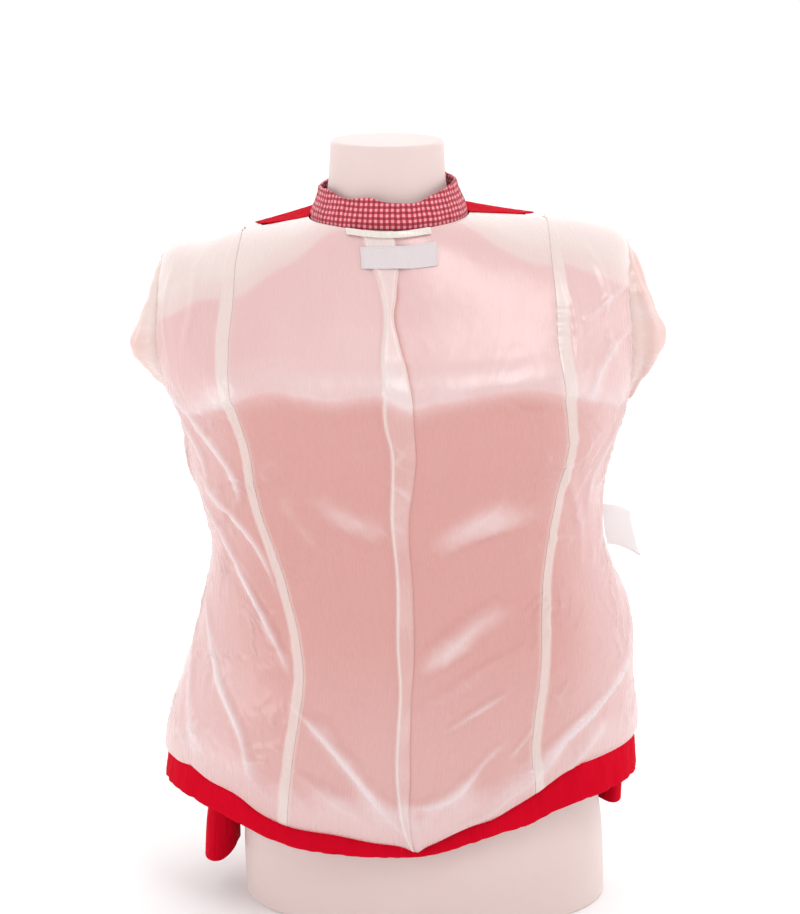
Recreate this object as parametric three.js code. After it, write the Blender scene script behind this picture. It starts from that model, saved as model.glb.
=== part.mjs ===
// A folk blazer turned inside out and put back to front on a limbless dress form.
//
// Millimetres, +Z up. The origin is the centre of the form's base. The side with the
// neck label, the blazer's own back, faces -Y, and left and right are as seen from there.
// The lining is the outer face of the body. The sleeves were not pulled through: each
// rolls over its armhole and hangs inside the body, red side out, down to its cuff.
import * as THREE from "three";

// ---------------------------------------------------------------- driving sizes
const SEAM_GAP = 0.3; // between pieces that are sewn together
const SHELL = { inner: 0, outer: 1.2 }; // red cloth, measured out from the body surface
const HEM_TURN = { inner: 1.5, outer: 2.7 }; // turned-up allowance on the shell
const LINING = { inner: 3.0, outer: 4.0 }; // ivory satin
const FACING = { inner: 3.7, outer: 4.9 }; // red cloth along the front edges
const LABEL = { inner: 0.3, outer: 1.3 }; // measured out from the lining

const COLLAR_HEIGHT = 29;
const COLLAR_LEAN = -4; // the stand leans in towards the neck at its top edge
const NECK_LABEL = { left: -28, right: 40, levels: [1, 1.5, 2] };
const HANGER_LOOP = { span: 74, shift: -1, levels: [0.06, 0.3, 0.5] };
const CARE_LABEL = { width: 30, top: 8.62, bottom: 9.1, bend: 5 };
const BUTTON = { radius: 9, thickness: 4, fromEdge: 14, count: 5, first: 3.8, last: 9.4, gap: 0.8 };

// ---------------------------------------------------------------- small tools
const table = (columns, rows) =>
  rows.map((row) => Object.fromEntries(columns.map((name, k) => [name, row[k]])));
const mix = (a, b, k) => a + (b - a) * k;
const clamp = (x, low, high) => Math.min(high, Math.max(low, x));
const degrees = (x) => (x * Math.PI) / 180;
const smooth = (x) => x * x * (3 - 2 * x);
const ramp = (x, from, to) => smooth(clamp((x - from) / (to - from), 0, 1));
const steps = (count) => Array.from({ length: count + 1 }, (_, k) => k / count);

/** A smooth curve through equally spaced values, at position t counted in values. */
function spline(values, t) {
  const last = values.length - 1;
  const k = clamp(Math.floor(t), 0, last - 1);
  const f = clamp(t, 0, last) - k;
  const at = (i) => values[clamp(i, 0, last)];
  const [a, b, c, d] = [at(k - 1), at(k), at(k + 1), at(k + 2)];
  const slope = [(c - a) / 2, (d - b) / 2];
  const [f2, f3] = [f * f, f * f * f];
  return (
    b * (2 * f3 - 3 * f2 + 1) + slope[0] * (f3 - 2 * f2 + f) +
    c * (3 * f2 - 2 * f3) + slope[1] * (f3 - f2)
  );
}

// ---------------------------------------------------------------- sections
// Each section is a closed loop through a left, a front, a right and a back point.
const SECTION_COLUMNS = [
  "leftX", "leftZ", "rightX", "rightZ", "frontY", "frontZ", "backY", "backZ",
  "frontSquare", "backSquare",
];

// The inner face of the blazer's shell, from the neck seam to the hem.
const LEVEL = { neck: 0, princess: 2, tip: 4, underarm: 7, hem: 12 };
const SHORTEN_FROM = 11; // a panel that stops above the hem is shortened from this level down
const BODY = table(SECTION_COLUMNS, [
  [-110, 674, 39, 678, 73, 675, 66, 690, 2.0, 2.0], // neck seam
  [-137, 669, 71, 677, 79, 661, 76, 680, 2.1, 2.1],
  [-170, 663, 109, 674, 88, 642, 87, 664, 2.1, 2.1], // princess seams leave the shoulder
  [-208, 652, 148, 670, 99, 619, 98, 642, 2.2, 2.2],
  [-242, 644, 182, 657, 111, 594, 106, 612, 2.4, 2.2], // shoulder tip
  [-252, 602, 188, 614, 127, 567, 114, 568, 2.8, 2.3],
  [-248, 554, 189, 562, 144, 534, 120, 524, 3.0, 2.4], // bust
  [-230, 500, 183, 502, 140, 480, 120, 476, 2.8, 2.4], // underarm
  [-222, 446, 166, 446, 127, 422, 115, 430, 2.5, 2.4],
  [-203, 366, 167, 368, 116, 345, 112, 354, 2.3, 2.3], // waist
  [-217, 284, 195, 286, 117, 261, 123, 270, 2.3, 2.3],
  [-243, 198, 200, 204, 122, 171, 136, 184, 2.3, 2.3], // hip
  [-256, 118, 207, 126, 126, 87, 144, 100, 2.4, 2.3], // hem
]);

function sectionAt(sections, t) {
  return Object.fromEntries(
    SECTION_COLUMNS.map((name) => [name, spline(sections.map((s) => s[name]), t)]),
  );
}

/** The point of a section at an angle: 0 right, 90 front, 180 left and 270 back. */
function ringPoint(section, angle) {
  const [c, s] = [Math.cos(degrees(angle)), Math.sin(degrees(angle))];
  const front = s >= 0;
  const depth = front ? section.frontY : section.backY;
  const square = front ? section.frontSquare : section.backSquare;
  const half = (section.rightX - section.leftX) / 2;
  const reach = (Math.abs(c / half) ** square + Math.abs(s / depth) ** square) ** (-1 / square);
  const x = (section.rightX + section.leftX) / 2 + reach * c;
  const y = -reach * s;
  const sideZ = mix(section.leftZ, section.rightZ, (x - section.leftX) / (2 * half));
  const z = mix(sideZ, front ? section.frontZ : section.backZ, (y / depth) ** 2);
  return new THREE.Vector3(x, y, z);
}

const bodyPoint = (angle, t) => ringPoint(sectionAt(BODY, t), angle);

function bodyNormal(angle, t) {
  const [turn, drop] = [0.4, 0.02];
  const t0 = clamp(t, drop, LEVEL.hem - drop);
  const across = bodyPoint(angle + turn, t).sub(bodyPoint(angle - turn, t));
  const down = bodyPoint(angle, t0 + drop).sub(bodyPoint(angle, t0 - drop));
  return across.cross(down).normalize();
}

const middleX = (t) => bodyPoint(90, t).x;

/** The angle on the front or back half of a section where x is offset from its middle. */
function angleAtOffset(t, offset, front) {
  const section = sectionAt(BODY, t);
  const target = middleX(t) + offset;
  let [low, high] = front ? [0, 180] : [360, 180]; // x falls from the right to the left side
  for (let k = 0; k < 30; k++) {
    const middle = (low + high) / 2;
    if (ringPoint(section, middle).x > target) low = middle;
    else high = middle;
  }
  return (low + high) / 2;
}

// ---------------------------------------------------------------- seams
// How far each seam lies to the side of the body's middle line, one row for each section
// from the level where it leaves the shoulder ridge.
const SEAMS = table(
  ["level", "backLeft", "backRight", "front", "facing"],
  [
    [2, 141, 141, 141, 132],
    [3, 145, 142, 132, 106],
    [4, 146, 145, 124, 88],
    [5, 147, 148, 120, 80],
    [6, 146, 150, 118, 78],
    [7, 137, 149, 114, 77],
    [8, 125, 143, 108, 77],
    [9, 112, 124, 104, 78],
    [10, 104, 116, 110, 82],
    [11, 105, 119, 118, 88],
    [12, 108, 136, 124, 94],
  ],
);
const PLEAT = { left: -16, right: 7, height: 2.2 }; // folded edge of the lining's centre pleat
const FRONT_EDGE = { neck: 9, hem: 26 }; // half the gap between the two front edges
const FACING_LEVEL = 1.5; // where the facing's inner edge leaves the shoulder ridge
const SEAM_START = 2; // degrees: a panel that starts in a point keeps this much width
const ARMHOLE = { front: 13, back: 13, fullness: 0.6 }; // half widths in degrees

const seamOffset = (name, t) => spline(SEAMS.map((row) => row[name]), t - SEAMS[0].level);
const edgeOffset = (t) => mix(FRONT_EDGE.neck, FRONT_EDGE.hem, t / LEVEL.hem);

function armholeHalf(t, side) {
  const k = clamp((t - LEVEL.tip) / (LEVEL.underarm - LEVEL.tip), 0, 1);
  return ARMHOLE[side] * Math.sin(Math.PI * k) ** ARMHOLE.fullness;
}

// Every boundary is an angle as a function of the level t. sign is 1 on the left and -1 on
// the right.
const ridgeAngle = (sign) => (sign > 0 ? 180 : 0);
const frontward = (sign) => -sign; // direction of the front half, in angle, from a ridge

function seamAngle(name, sign, front, from) {
  return (t) => {
    const ridge = ridgeAngle(sign);
    if (t < from) return ridge;
    const inward = front ? frontward(sign) : -frontward(sign);
    const offset = seamOffset(name, Math.max(t, SEAMS[0].level));
    const found = angleAtOffset(t, -sign * offset, front);
    const turned = Math.abs((((found - ridge + 540) % 360) - 180));
    return ridge + inward * Math.max(turned, SEAM_START);
  };
}

const princessBack = (sign) =>
  seamAngle(sign > 0 ? "backLeft" : "backRight", sign, true, LEVEL.princess);
const princessFront = (sign) => seamAngle("front", sign, false, LEVEL.princess);
const facingEdge = (sign) => (t) => {
  if (t < FACING_LEVEL) return ridgeAngle(sign);
  const full = seamAngle("facing", sign, false, FACING_LEVEL)(Math.max(t, LEVEL.princess));
  const start = ridgeAngle(sign) - frontward(sign) * SEAM_START;
  return mix(start, full, ramp(t, FACING_LEVEL, LEVEL.princess));
};
const sideBack = (sign) => (t) => ridgeAngle(sign) + frontward(sign) * armholeHalf(t, "front");
const sideFront = (sign) => (t) => ridgeAngle(sign) - frontward(sign) * armholeHalf(t, "back");
const centreBack = () => 90;
const frontEdge = (sign) => (t) => {
  const found = angleAtOffset(t, -sign * edgeOffset(t), false);
  return sign > 0 ? found : found - 360;
};

// ---------------------------------------------------------------- folds of the lining
// Soft ridges that stand out from the lining, as seen from the front: ends, width, height.
const FOLDS = table(
  ["x0", "z0", "x1", "z1", "width", "height"],
  [
    [-236, 494, -122, 264, 26, 5], // left armhole down to the princess seam
    [-214, 300, -158, 132, 24, 5], // left side
    [-122, 236, -14, 104, 30, 7], // left princess seam to the foot of the pleat
    [192, 268, 92, 140, 28, 8], // right side round to the princess seam
    [92, 140, 6, 100, 26, 6], // and on along the hem
    [96, 350, 0, 262, 46, 4], // right of the pleat
    [88, 246, 0, 190, 44, 4],
  ],
);
// The lining's spare length bags out over the hem, between two levels.
const HEM_BAG = { side: 2, middle: 7, from: 11.0, peak: 11.7 };

function foldHeight(point) {
  let height = 0;
  for (const f of FOLDS) {
    const along = new THREE.Vector2(f.x1 - f.x0, f.z1 - f.z0);
    const from = new THREE.Vector2(point.x - f.x0, point.z - f.z0);
    const k = clamp(from.dot(along) / along.lengthSq(), 0, 1);
    const away = from.sub(along.multiplyScalar(k)).length() / (f.width / 2);
    const faded = f.height * Math.sin(Math.PI * mix(0.12, 0.88, k));
    if (away < 1) height = Math.max(height, faded * smooth(1 - away));
  }
  return height;
}

/** How far the lining stands out beyond its layer, at an angle and level. */
function liningRaise(angle, t) {
  const point = bodyPoint(angle, t);
  const front = Math.sin(degrees(angle)) > 0.12 ? foldHeight(point) : 0;
  const bag = mix(HEM_BAG.side, HEM_BAG.middle, Math.abs(Math.sin(degrees(angle))) ** 3);
  return Math.max(front, bag * ramp(t, HEM_BAG.from, HEM_BAG.peak));
}

// How far above the lowest level the cloth and the lining stop, in levels, every 30 degrees
// from the right side. The hem rides up over the right hip.
const CLOTH_LIFT = [0.24, 0.42, 0.22, 0.04, 0.05, 0.22, 0.12, 0, 0, 0, 0, 0.08, 0.24];
const LINING_LIFT = [0.7, 0.8, 0.45, 0.2, 0.3, 0.45, 0.52, 0.4, 0.3, 0.3, 0.3, 0.48, 0.7];

const hemAfter = (lifts) => (angle) =>
  LEVEL.hem - spline(lifts, (((angle % 360) + 360) % 360) / 30);
const clothHem = hemAfter(CLOTH_LIFT);
const liningHem = hemAfter(LINING_LIFT);

// ---------------------------------------------------------------- closed walls
function closedMesh(points, faces) {
  let volume = 0;
  for (const [a, b, c] of faces)
    volume += points[a].dot(new THREE.Vector3().crossVectors(points[b], points[c]));
  const turned = volume < 0 ? faces.map(([a, b, c]) => [a, c, b]) : faces;
  const geometry = new THREE.BufferGeometry();
  const coordinates = points.flatMap((p) => p.toArray());
  geometry.setAttribute("position", new THREE.Float32BufferAttribute(coordinates, 3));
  geometry.setIndex(turned.flat());
  geometry.computeVertexNormals();
  return geometry;
}

/** A closed wall between two grids of points, each a list of rows; round joins each row's ends. */
function wallBetween(inner, outer, round = false) {
  const [rows, columns] = [inner.length, inner[0].length];
  const points = [...inner.flat(), ...outer.flat()];
  const id = (side, i, j) => (side * rows + i) * columns + (round ? j % columns : j);
  const faces = [];
  const quad = (a, b, c, d) => faces.push([a, b, c], [a, c, d]);
  const last = round ? columns : columns - 1;
  for (let i = 0; i + 1 < rows; i++)
    for (let j = 0; j < last; j++) {
      quad(id(1, i, j), id(1, i + 1, j), id(1, i + 1, j + 1), id(1, i, j + 1));
      quad(id(0, i, j), id(0, i, j + 1), id(0, i + 1, j + 1), id(0, i + 1, j));
    }
  for (let j = 0; j < last; j++) {
    quad(id(0, 0, j), id(1, 0, j), id(1, 0, j + 1), id(0, 0, j + 1));
    quad(id(0, rows - 1, j), id(0, rows - 1, j + 1), id(1, rows - 1, j + 1), id(1, rows - 1, j));
  }
  if (!round)
    for (let i = 0; i + 1 < rows; i++) {
      quad(id(0, i, 0), id(0, i + 1, 0), id(1, i + 1, 0), id(1, i, 0));
      const end = columns - 1;
      quad(id(0, i, end), id(1, i, end), id(1, i + 1, end), id(0, i + 1, end));
    }
  return closedMesh(points, faces);
}

/** A solid through closed rings, with a flat cap on the first and the last. */
function solidThrough(rings) {
  const columns = rings[0].length;
  const points = rings.flat();
  const faces = [];
  for (let i = 0; i + 1 < rings.length; i++)
    for (let j = 0; j < columns; j++) {
      const [a, b] = [i * columns + j, i * columns + ((j + 1) % columns)];
      faces.push([a, b, b + columns], [a, b + columns, a + columns]);
    }
  for (const [ring, flip] of [[0, true], [rings.length - 1, false]]) {
    const centre = points.length;
    points.push(rings[ring].reduce((sum, p) => sum.add(p), new THREE.Vector3()).divideScalar(columns));
    for (let j = 0; j < columns; j++) {
      const [a, b] = [ring * columns + j, ring * columns + ((j + 1) % columns)];
      faces.push(flip ? [b, a, centre] : [a, b, centre]);
    }
  }
  return closedMesh(points, faces);
}

/**
 * A piece of cloth cut from the body surface. from and to are its side boundaries, levels its
 * rows, stops where its columns lie between the boundaries, and layer its inner and outer
 * distance from the surface. raise lifts it further, and hem is the level where it ends.
 */
function panel({ from, to, levels, stops, layer, raise = () => 0, hem = clothHem }) {
  const grids = [[], []];
  const shorten = (level, angle) =>
    level - (Math.max(0, level - SHORTEN_FROM) * (LEVEL.hem - hem(angle))) / (LEVEL.hem - SHORTEN_FROM);
  for (const level of levels) {
    const rows = [[], []];
    const width = bodyPoint(from(level), level).distanceTo(bodyPoint(to(level), level));
    const trim = clamp(SEAM_GAP / 2 / Math.max(width, 1), 0, 0.2);
    for (const stop of stops) {
      const k = mix(trim, 1 - trim, stop);
      const t = shorten(level, mix(from(level), to(level), k));
      const angle = mix(from(t), to(t), k);
      const [point, normal] = [bodyPoint(angle, t), bodyNormal(angle, t)];
      [layer.inner, layer.outer].forEach((depth, side) =>
        rows[side].push(point.clone().addScaledVector(normal, depth + raise(angle, t))));
    }
    rows.forEach((row, side) => grids[side].push(row));
  }
  return wallBetween(grids[0], grids[1]);
}

// ---------------------------------------------------------------- materials
const material = (color, roughness, metalness = 0) =>
  new THREE.MeshStandardMaterial({ color: new THREE.Color(...color), roughness, metalness });
const RED_CLOTH = material([0.8, 0.05, 0.09], 0.85);
const IVORY_SATIN = material([0.93, 0.8, 0.78], 0.45);
const CHECK_CLOTH = material([0.75, 0.3, 0.36], 0.85);
const LABEL_CLOTH = material([0.88, 0.85, 0.88], 0.7);
const FORM_PLASTIC = material([0.9, 0.82, 0.8], 0.5);
const HORN = material([0.55, 0.4, 0.28], 0.4);

const blazer = new THREE.Group();
function add(name, geometry, finish) {
  const mesh = new THREE.Mesh(geometry, finish);
  mesh.name = name;
  blazer.add(mesh);
  return mesh;
}

// ---------------------------------------------------------------- body panels
const SIDES = [["left", 1], ["right", -1]];
const YOKE_LEVELS = [0, 0.5, 1, 1.5, 2, 2.4, 3, 3.5];
const ARMHOLE_LEVELS = [4, 4.3, 4.9, 5.5, 6.1, 6.7, 7];
const SKIRT_LEVELS = [7.5, 8, 8.75, 9.5, 10.25, 11, 11.5, 12];
const BODY_LEVELS = [...YOKE_LEVELS, ...ARMHOLE_LEVELS, ...SKIRT_LEVELS];
const SIDE_LEVELS = BODY_LEVELS.filter((t) => t >= LEVEL.princess);
const HEM_LEVELS = [11, 11.5, 11.99];
const STOPS = { back: steps(7), side: steps(5), front: steps(5), frontLining: steps(2) };
const PLEAT_STOPS = [0, 0.07, 0.14, 0.172, 0.3, 0.44, 0.58, 0.72, 0.86, 1];
const atOffset = (offset) => (t) => angleAtOffset(t, offset, true);

function bodyShell() {
  for (const [side, sign] of SIDES) {
    const pieces = table(["name", "from", "to", "levels", "stops"], [
      ["back", centreBack, princessBack(sign), BODY_LEVELS, STOPS.back],
      ["side_back", princessBack(sign), sideBack(sign), SIDE_LEVELS, STOPS.side],
      ["side_front", sideFront(sign), princessFront(sign), SIDE_LEVELS, STOPS.side],
      ["front", princessFront(sign), frontEdge(sign), BODY_LEVELS, STOPS.front],
    ]);
    for (const { name, ...cut } of pieces) {
      add(`shell_${name}_${side}`, panel({ ...cut, layer: SHELL }), RED_CLOTH);
      const turned = { ...cut, levels: HEM_LEVELS, layer: HEM_TURN };
      add(`hem_turn_${name}_${side}`, panel(turned), RED_CLOTH);
    }
  }
}

function bodyLining() {
  const common = { layer: LINING, raise: liningRaise, hem: liningHem };
  const pleated = (angle, t) => {
    const offset = bodyPoint(angle, t).x - middleX(t);
    return liningRaise(angle, t) + PLEAT.height * ramp(offset, PLEAT.left - 2, PLEAT.left + 2);
  };
  for (const [side, sign] of SIDES) {
    const back = sign > 0 ? { stops: PLEAT_STOPS, raise: pleated } : { stops: STOPS.back };
    const pieces = table(["name", "from", "to", "levels", "stops"], [
      ["side_back", princessBack(sign), sideBack(sign), SIDE_LEVELS, STOPS.side],
      ["side_front", sideFront(sign), princessFront(sign), SIDE_LEVELS, STOPS.side],
      ["front", princessFront(sign), facingEdge(sign), SIDE_LEVELS, STOPS.frontLining],
    ]);
    add(`lining_back_${side}`, panel({
      ...common, from: atOffset(PLEAT.right), to: princessBack(sign), levels: BODY_LEVELS, ...back,
    }), IVORY_SATIN);
    for (const { name, ...cut } of pieces)
      add(`lining_${name}_${side}`, panel({ ...common, ...cut }), IVORY_SATIN);
    add(`facing_${side}`, panel({
      from: facingEdge(sign), to: frontEdge(sign),
      levels: BODY_LEVELS, stops: STOPS.front, layer: FACING,
    }), RED_CLOTH);
  }
}

// ---------------------------------------------------------------- collar and labels
// The inner and outer face of each collar layer, measured out from the neck seam.
const COLLAR_LAYERS = [["collar_inner", -2.4, -1.2], ["collar_outer", -3.9, -2.7]];
const COLLAR_ROWS = [-0.05, 0.25, 0.55, 0.82, 1];
const COLLAR_STEPS = 34;

/** A point of the collar: up is 0 at the neck seam and 1 at the top edge. */
function collarPoint(angle, up, depth) {
  const point = bodyPoint(angle, 0);
  const across = bodyPoint(angle + 0.4, 0).sub(bodyPoint(angle - 0.4, 0));
  const outward = new THREE.Vector3(-across.y, across.x, 0).normalize();
  const lean = COLLAR_LEAN * smooth(clamp(up, 0, 1));
  point.addScaledVector(outward, depth + lean);
  point.z += LINING.inner + COLLAR_HEIGHT * up;
  return point;
}

function collar() {
  const [start, end] = [frontEdge(-1)(0), frontEdge(1)(0)];
  for (const [name, inner, outer] of COLLAR_LAYERS) {
    const grid = (depth) => COLLAR_ROWS.map((up) =>
      steps(COLLAR_STEPS).map((c) => collarPoint(mix(start, end, c), up, depth)));
    add(name, wallBetween(grid(inner), grid(outer)), CHECK_CLOTH);
  }
}

function hangerAndLabels() {
  const base = LINING.outer + PLEAT.height;
  const layer = { inner: base + LABEL.inner, outer: base + LABEL.outer };
  const { span, shift } = HANGER_LOOP;
  add("hanger_loop", panel({
    from: atOffset(shift + span / 2), to: atOffset(shift - span / 2),
    levels: HANGER_LOOP.levels, stops: steps(12), layer,
  }), IVORY_SATIN);
  add("neck_label", panel({
    from: atOffset(NECK_LABEL.right), to: atOffset(NECK_LABEL.left),
    levels: NECK_LABEL.levels, stops: steps(10), layer,
  }), LABEL_CLOTH);
  const grid = (y) => steps(5).map((c) => steps(3).map((r) => {
    const bend = CARE_LABEL.bend * Math.sin((Math.PI / 2) * c);
    const root = bodyPoint(0, mix(CARE_LABEL.top, CARE_LABEL.bottom, r));
    return root.add(new THREE.Vector3(LINING.outer + 3.4 + CARE_LABEL.width * c, y - bend, 0));
  }));
  add("care_label", wallBetween(grid(0.5), grid(-0.5)), LABEL_CLOTH);
}

function buttons() {
  for (let k = 0; k < BUTTON.count; k++) {
    const t = mix(BUTTON.first, BUTTON.last, k / (BUTTON.count - 1));
    const angle = angleAtOffset(t, edgeOffset(t) + BUTTON.fromEdge, false);
    const [point, normal] = [bodyPoint(angle, t), bodyNormal(angle, t)];
    const disc = new THREE.CylinderGeometry(BUTTON.radius, BUTTON.radius, BUTTON.thickness, 20);
    disc.applyQuaternion(new THREE.Quaternion().setFromUnitVectors(new THREE.Vector3(0, 1, 0), normal));
    point.addScaledVector(normal, -BUTTON.thickness / 2 - BUTTON.gap);
    disc.translate(point.x, point.y, point.z);
    add(`button_${k + 1}`, disc, HORN);
  }
}

// ---------------------------------------------------------------- sleeves
// Each sleeve leaves its armhole outward, rolls back through it, bends round a pivot at the
// underarm and hangs between the form and the side of the body.
const LIP = table(["scale", "out"], [
  [1, 0], [1, 0.35], [0.97, 0.75], [0.88, 1], [0.77, 0.9], [0.7, 0.55], [0.66, 0.1],
]);
const BEND = table(["turn", "high", "wide"], [
  [12, 46, 33], [30, 40, 37], [50, 33, 42], [70, 26, 46], [90, 20, 49],
]);
const PIVOT = { above: 15, inside: 5, clear: 8 };
const HANG_COLUMNS = ["t", "angle", "deep", "half", "spread", "drop"];
const SLEEVES = {
  left: { roll: 26, hang: table(HANG_COLUMNS, [
    [7.5, 0, 28, 19, 14, 0], [8, 0, 27, 18, 14, 0], [9, 1, 26, 17, 14, 0], [10, 2, 32, 16, 13, 0],
    [11, 4, 46, 14, 11.5, 0], [12, 5, 59, 14, 10.5, 0], [12, 5, 59, 15, 10.5, 50],
    [12, 5, 58, 15, 10.5, 92],
  ]) },
  right: { roll: 34, hang: table(HANG_COLUMNS, [
    [7.5, 0, 28, 19, 14, 0], [8, 1, 25, 17, 14, 0], [9, 2, 26, 16, 14, 0], [10, 5, 35, 14, 13, 0],
    [11, 9, 26, 12, 12, 0], [12, 13, 19, 11, 11, 0], [12, 13, 19, 12, 11, 40],
  ]) },
};
// The lining is outermost where the head rolls out over the body, and so inside the hanging tube.
const SLEEVE_LAYERS = { lining: { inner: -1.15, outer: -0.15 }, shell: { inner: 0.15, outer: 1.35 } };
const SLEEVE_SEAM = 4; // the ring column where the top and under sleeve meet
const SLEEVE_INSET = 1.8; // between the armhole's edge and the sleeve's own middle surface

function sleeveRings(side, sign) {
  const { roll, hang } = SLEEVES[side];
  const down = ARMHOLE_LEVELS.map((t) => ({ t, front: true }));
  const up = ARMHOLE_LEVELS.slice(1, -1).reverse().map((t) => ({ t, front: false }));
  const around = [...down, ...up];
  const edge = around.map(({ t, front }) => bodyPoint((front ? sideBack : sideFront)(sign)(t), t));
  const theta = around.map(({ t, front }) => {
    const k = (t - LEVEL.tip) / (LEVEL.underarm - LEVEL.tip);
    return (front ? 1 : -1) * Math.acos(clamp(1 - 2 * k, -1, 1));
  });
  const [top, bottom] = [edge[0], edge[down.length - 1]];
  const centre = edge.reduce((sum, p) => sum.add(p), new THREE.Vector3()).divideScalar(edge.length);
  centre.z = (top.z + bottom.z) / 2;
  const out = new THREE.Vector3(-sign, 0, 0);
  const rings = LIP.map(({ scale, out: outward }) => edge.map((point) => {
    const arm = point.clone().sub(centre);
    const length = arm.length();
    const fullness = roll * mix(0.28, 1, ramp(point.z, bottom.z, mix(bottom.z, top.z, 0.55)));
    return centre.clone().addScaledVector(arm, (scale * (length - SLEEVE_INSET)) / length)
      .addScaledVector(out, 0.4 + outward * fullness);
  }));
  const pivot = new THREE.Vector3(bottom.x + sign * PIVOT.inside, 0, bottom.z + PIVOT.above);
  for (const { turn, high, wide } of BEND) {
    const u = new THREE.Vector3(sign * Math.sin(degrees(turn)), 0, Math.cos(degrees(turn)));
    rings.push(theta.map((a) => pivot.clone()
      .addScaledVector(u, PIVOT.clear + high + high * Math.cos(a))
      .add(new THREE.Vector3(0, -wide * Math.sin(a), 0))));
  }
  for (const { t, angle, deep, half, spread, drop } of hang)
    rings.push(theta.map((a) => {
      const around = ridgeAngle(sign) + frontward(sign) * (spread * Math.sin(a) - angle);
      const [point, normal] = [bodyPoint(around, t), bodyNormal(around, t)];
      normal.z = 0;
      point.addScaledVector(normal.normalize(), -deep - half * Math.cos(a));
      point.z -= drop;
      return point;
    }));
  return rings;
}

/** Points of a grid of rings moved along the grid's own normals. */
function offsetRings(rings, distance, sign) {
  const count = rings[0].length;
  return rings.map((ring, i) => ring.map((point, k) => {
    const [before, after] = [rings[Math.max(i - 1, 0)], rings[Math.min(i + 1, rings.length - 1)]];
    const along = after[k].clone().sub(before[k]);
    const around = ring[(k + 1) % count].clone().sub(ring[(k + count - 1) % count]);
    return point.clone().addScaledVector(along.cross(around).normalize(), distance * sign);
  }));
}

/** The stretch of each ring from one column to another, cut back a little at both seams. */
function stretch(rings, from, to) {
  const count = rings[0].length;
  return rings.map((ring) => {
    const column = (k) => (from + k + count) % count;
    const part = Array.from({ length: to - from + 1 }, (_, k) => ring[column(k)].clone());
    const cutBack = (end, next) => {
      const length = end.distanceTo(next);
      end.lerp(next.clone(), SEAM_GAP / 2 / length);
    };
    cutBack(part[0], part[1]);
    cutBack(part[part.length - 1], part[part.length - 2]);
    return part;
  });
}

function sleeves() {
  const under = [SLEEVE_SEAM, ARMHOLE_LEVELS.length * 2 - 2 - SLEEVE_SEAM];
  const top = [-SLEEVE_SEAM, SLEEVE_SEAM];
  for (const [side, sign] of SIDES) {
    const rings = sleeveRings(side, sign);
    for (const [name, [from, to]] of [["top", top], ["under", under]]) {
      const wall = (layer, used) => wallBetween(
        stretch(offsetRings(used, layer.inner, -sign), from, to),
        stretch(offsetRings(used, layer.outer, -sign), from, to));
      add(`sleeve_${name}_${side}`, wall(SLEEVE_LAYERS.shell, rings), RED_CLOTH);
      add(`sleeve_lining_${name}_${side}`, wall(SLEEVE_LAYERS.lining, rings.slice(0, -1)), IVORY_SATIN);
    }
  }
}

// ---------------------------------------------------------------- dress form
const FORM_NECK = table(SECTION_COLUMNS, [
  [-90, 750, 15, 750, 54, 750, 50, 750, 2, 2],
  [-91, 728, 16, 728, 54, 727, 50, 728, 2, 2],
  [-93, 706, 18, 707, 55, 704, 51, 706, 2, 2],
  [-98, 687, 24, 690, 60, 685, 56, 694, 2, 2],
]);
const FORM_TORSO = table(SECTION_COLUMNS, [
  [-187, 648, 124, 661, 92, 609, 87, 630, 2.2, 2.2],
  [-182, 614, 117, 624, 103, 576, 95, 592, 2.3, 2.2],
  [-162, 570, 102, 576, 127, 543, 101, 553, 2.3, 2.2],
  [-160, 528, 99, 532, 134, 511, 104, 512, 2.3, 2.2],
  [-156, 470, 100, 470, 125, 454, 103, 461, 2.2, 2.2],
  [-147, 390, 106, 390, 107, 378, 97, 384, 2.2, 2.2],
  [-147, 345, 112, 345, 106, 335, 97, 340, 2.2, 2.2],
  [-158, 272, 131, 272, 109, 262, 105, 268, 2.2, 2.2],
  [-173, 184, 152, 184, 112, 178, 115, 180, 2.2, 2.2],
  [-180, 80, 173, 92, 109, 80, 113, 84, 2.2, 2.2],
  [-180, 25, 178, 25, 105, 25, 109, 25, 2.2, 2.2],
  [-179, 0, 179, 0, 104, 0, 108, 0, 2.2, 2.2],
]);
const FORM_YOKE_LEVELS = [0, 0.5, 1, 1.5, 2, 2.4];
const FORM_SEAT = { clear: 0.5, neck: 4.5, below: 4, within: 9, deepest: 7 };
const FORM_STEPS = 36;

/** How far inside the shell the form's shoulder lies: it carries the cloth along its ridge. */
function seatDepth(angle, t) {
  const away = Math.abs(((angle + 90) % 180) - 90);
  const clear = mix(FORM_SEAT.neck, FORM_SEAT.clear, ramp(t, 0, 0.5));
  const near = mix(clear, FORM_SEAT.below, ramp(away, 0, FORM_SEAT.within));
  return near + (FORM_SEAT.deepest - FORM_SEAT.below) * ramp(away, FORM_SEAT.within, 60);
}

function dressForm() {
  const angles = steps(FORM_STEPS).slice(0, -1).map((k) => 360 * k);
  const through = (section) => angles.map((angle) => ringPoint(section, angle));
  const yoke = FORM_YOKE_LEVELS.map((t) => angles.map((angle) =>
    bodyPoint(angle, t).addScaledVector(bodyNormal(angle, t), -seatDepth(angle, t))));
  const rings = [...FORM_NECK.map(through), ...yoke, ...FORM_TORSO.map(through)];
  add("dress_form", solidThrough(rings), FORM_PLASTIC);
}

bodyShell();
bodyLining();
collar();
hangerAndLabels();
sleeves();
buttons();
dressForm();

export default blazer;
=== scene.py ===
"""Looks of a red folk blazer, worn inside out and back to front by a limbless dress form.

Lengths are millimetres until a mesh is made, which is in metres. +Z is up and -Y faces the
side with the neck label. Left and right are as seen from there.
"""

from __future__ import annotations

import logging
import math
from collections.abc import Callable, Sequence
from dataclasses import dataclass, field
from enum import Enum

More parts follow.
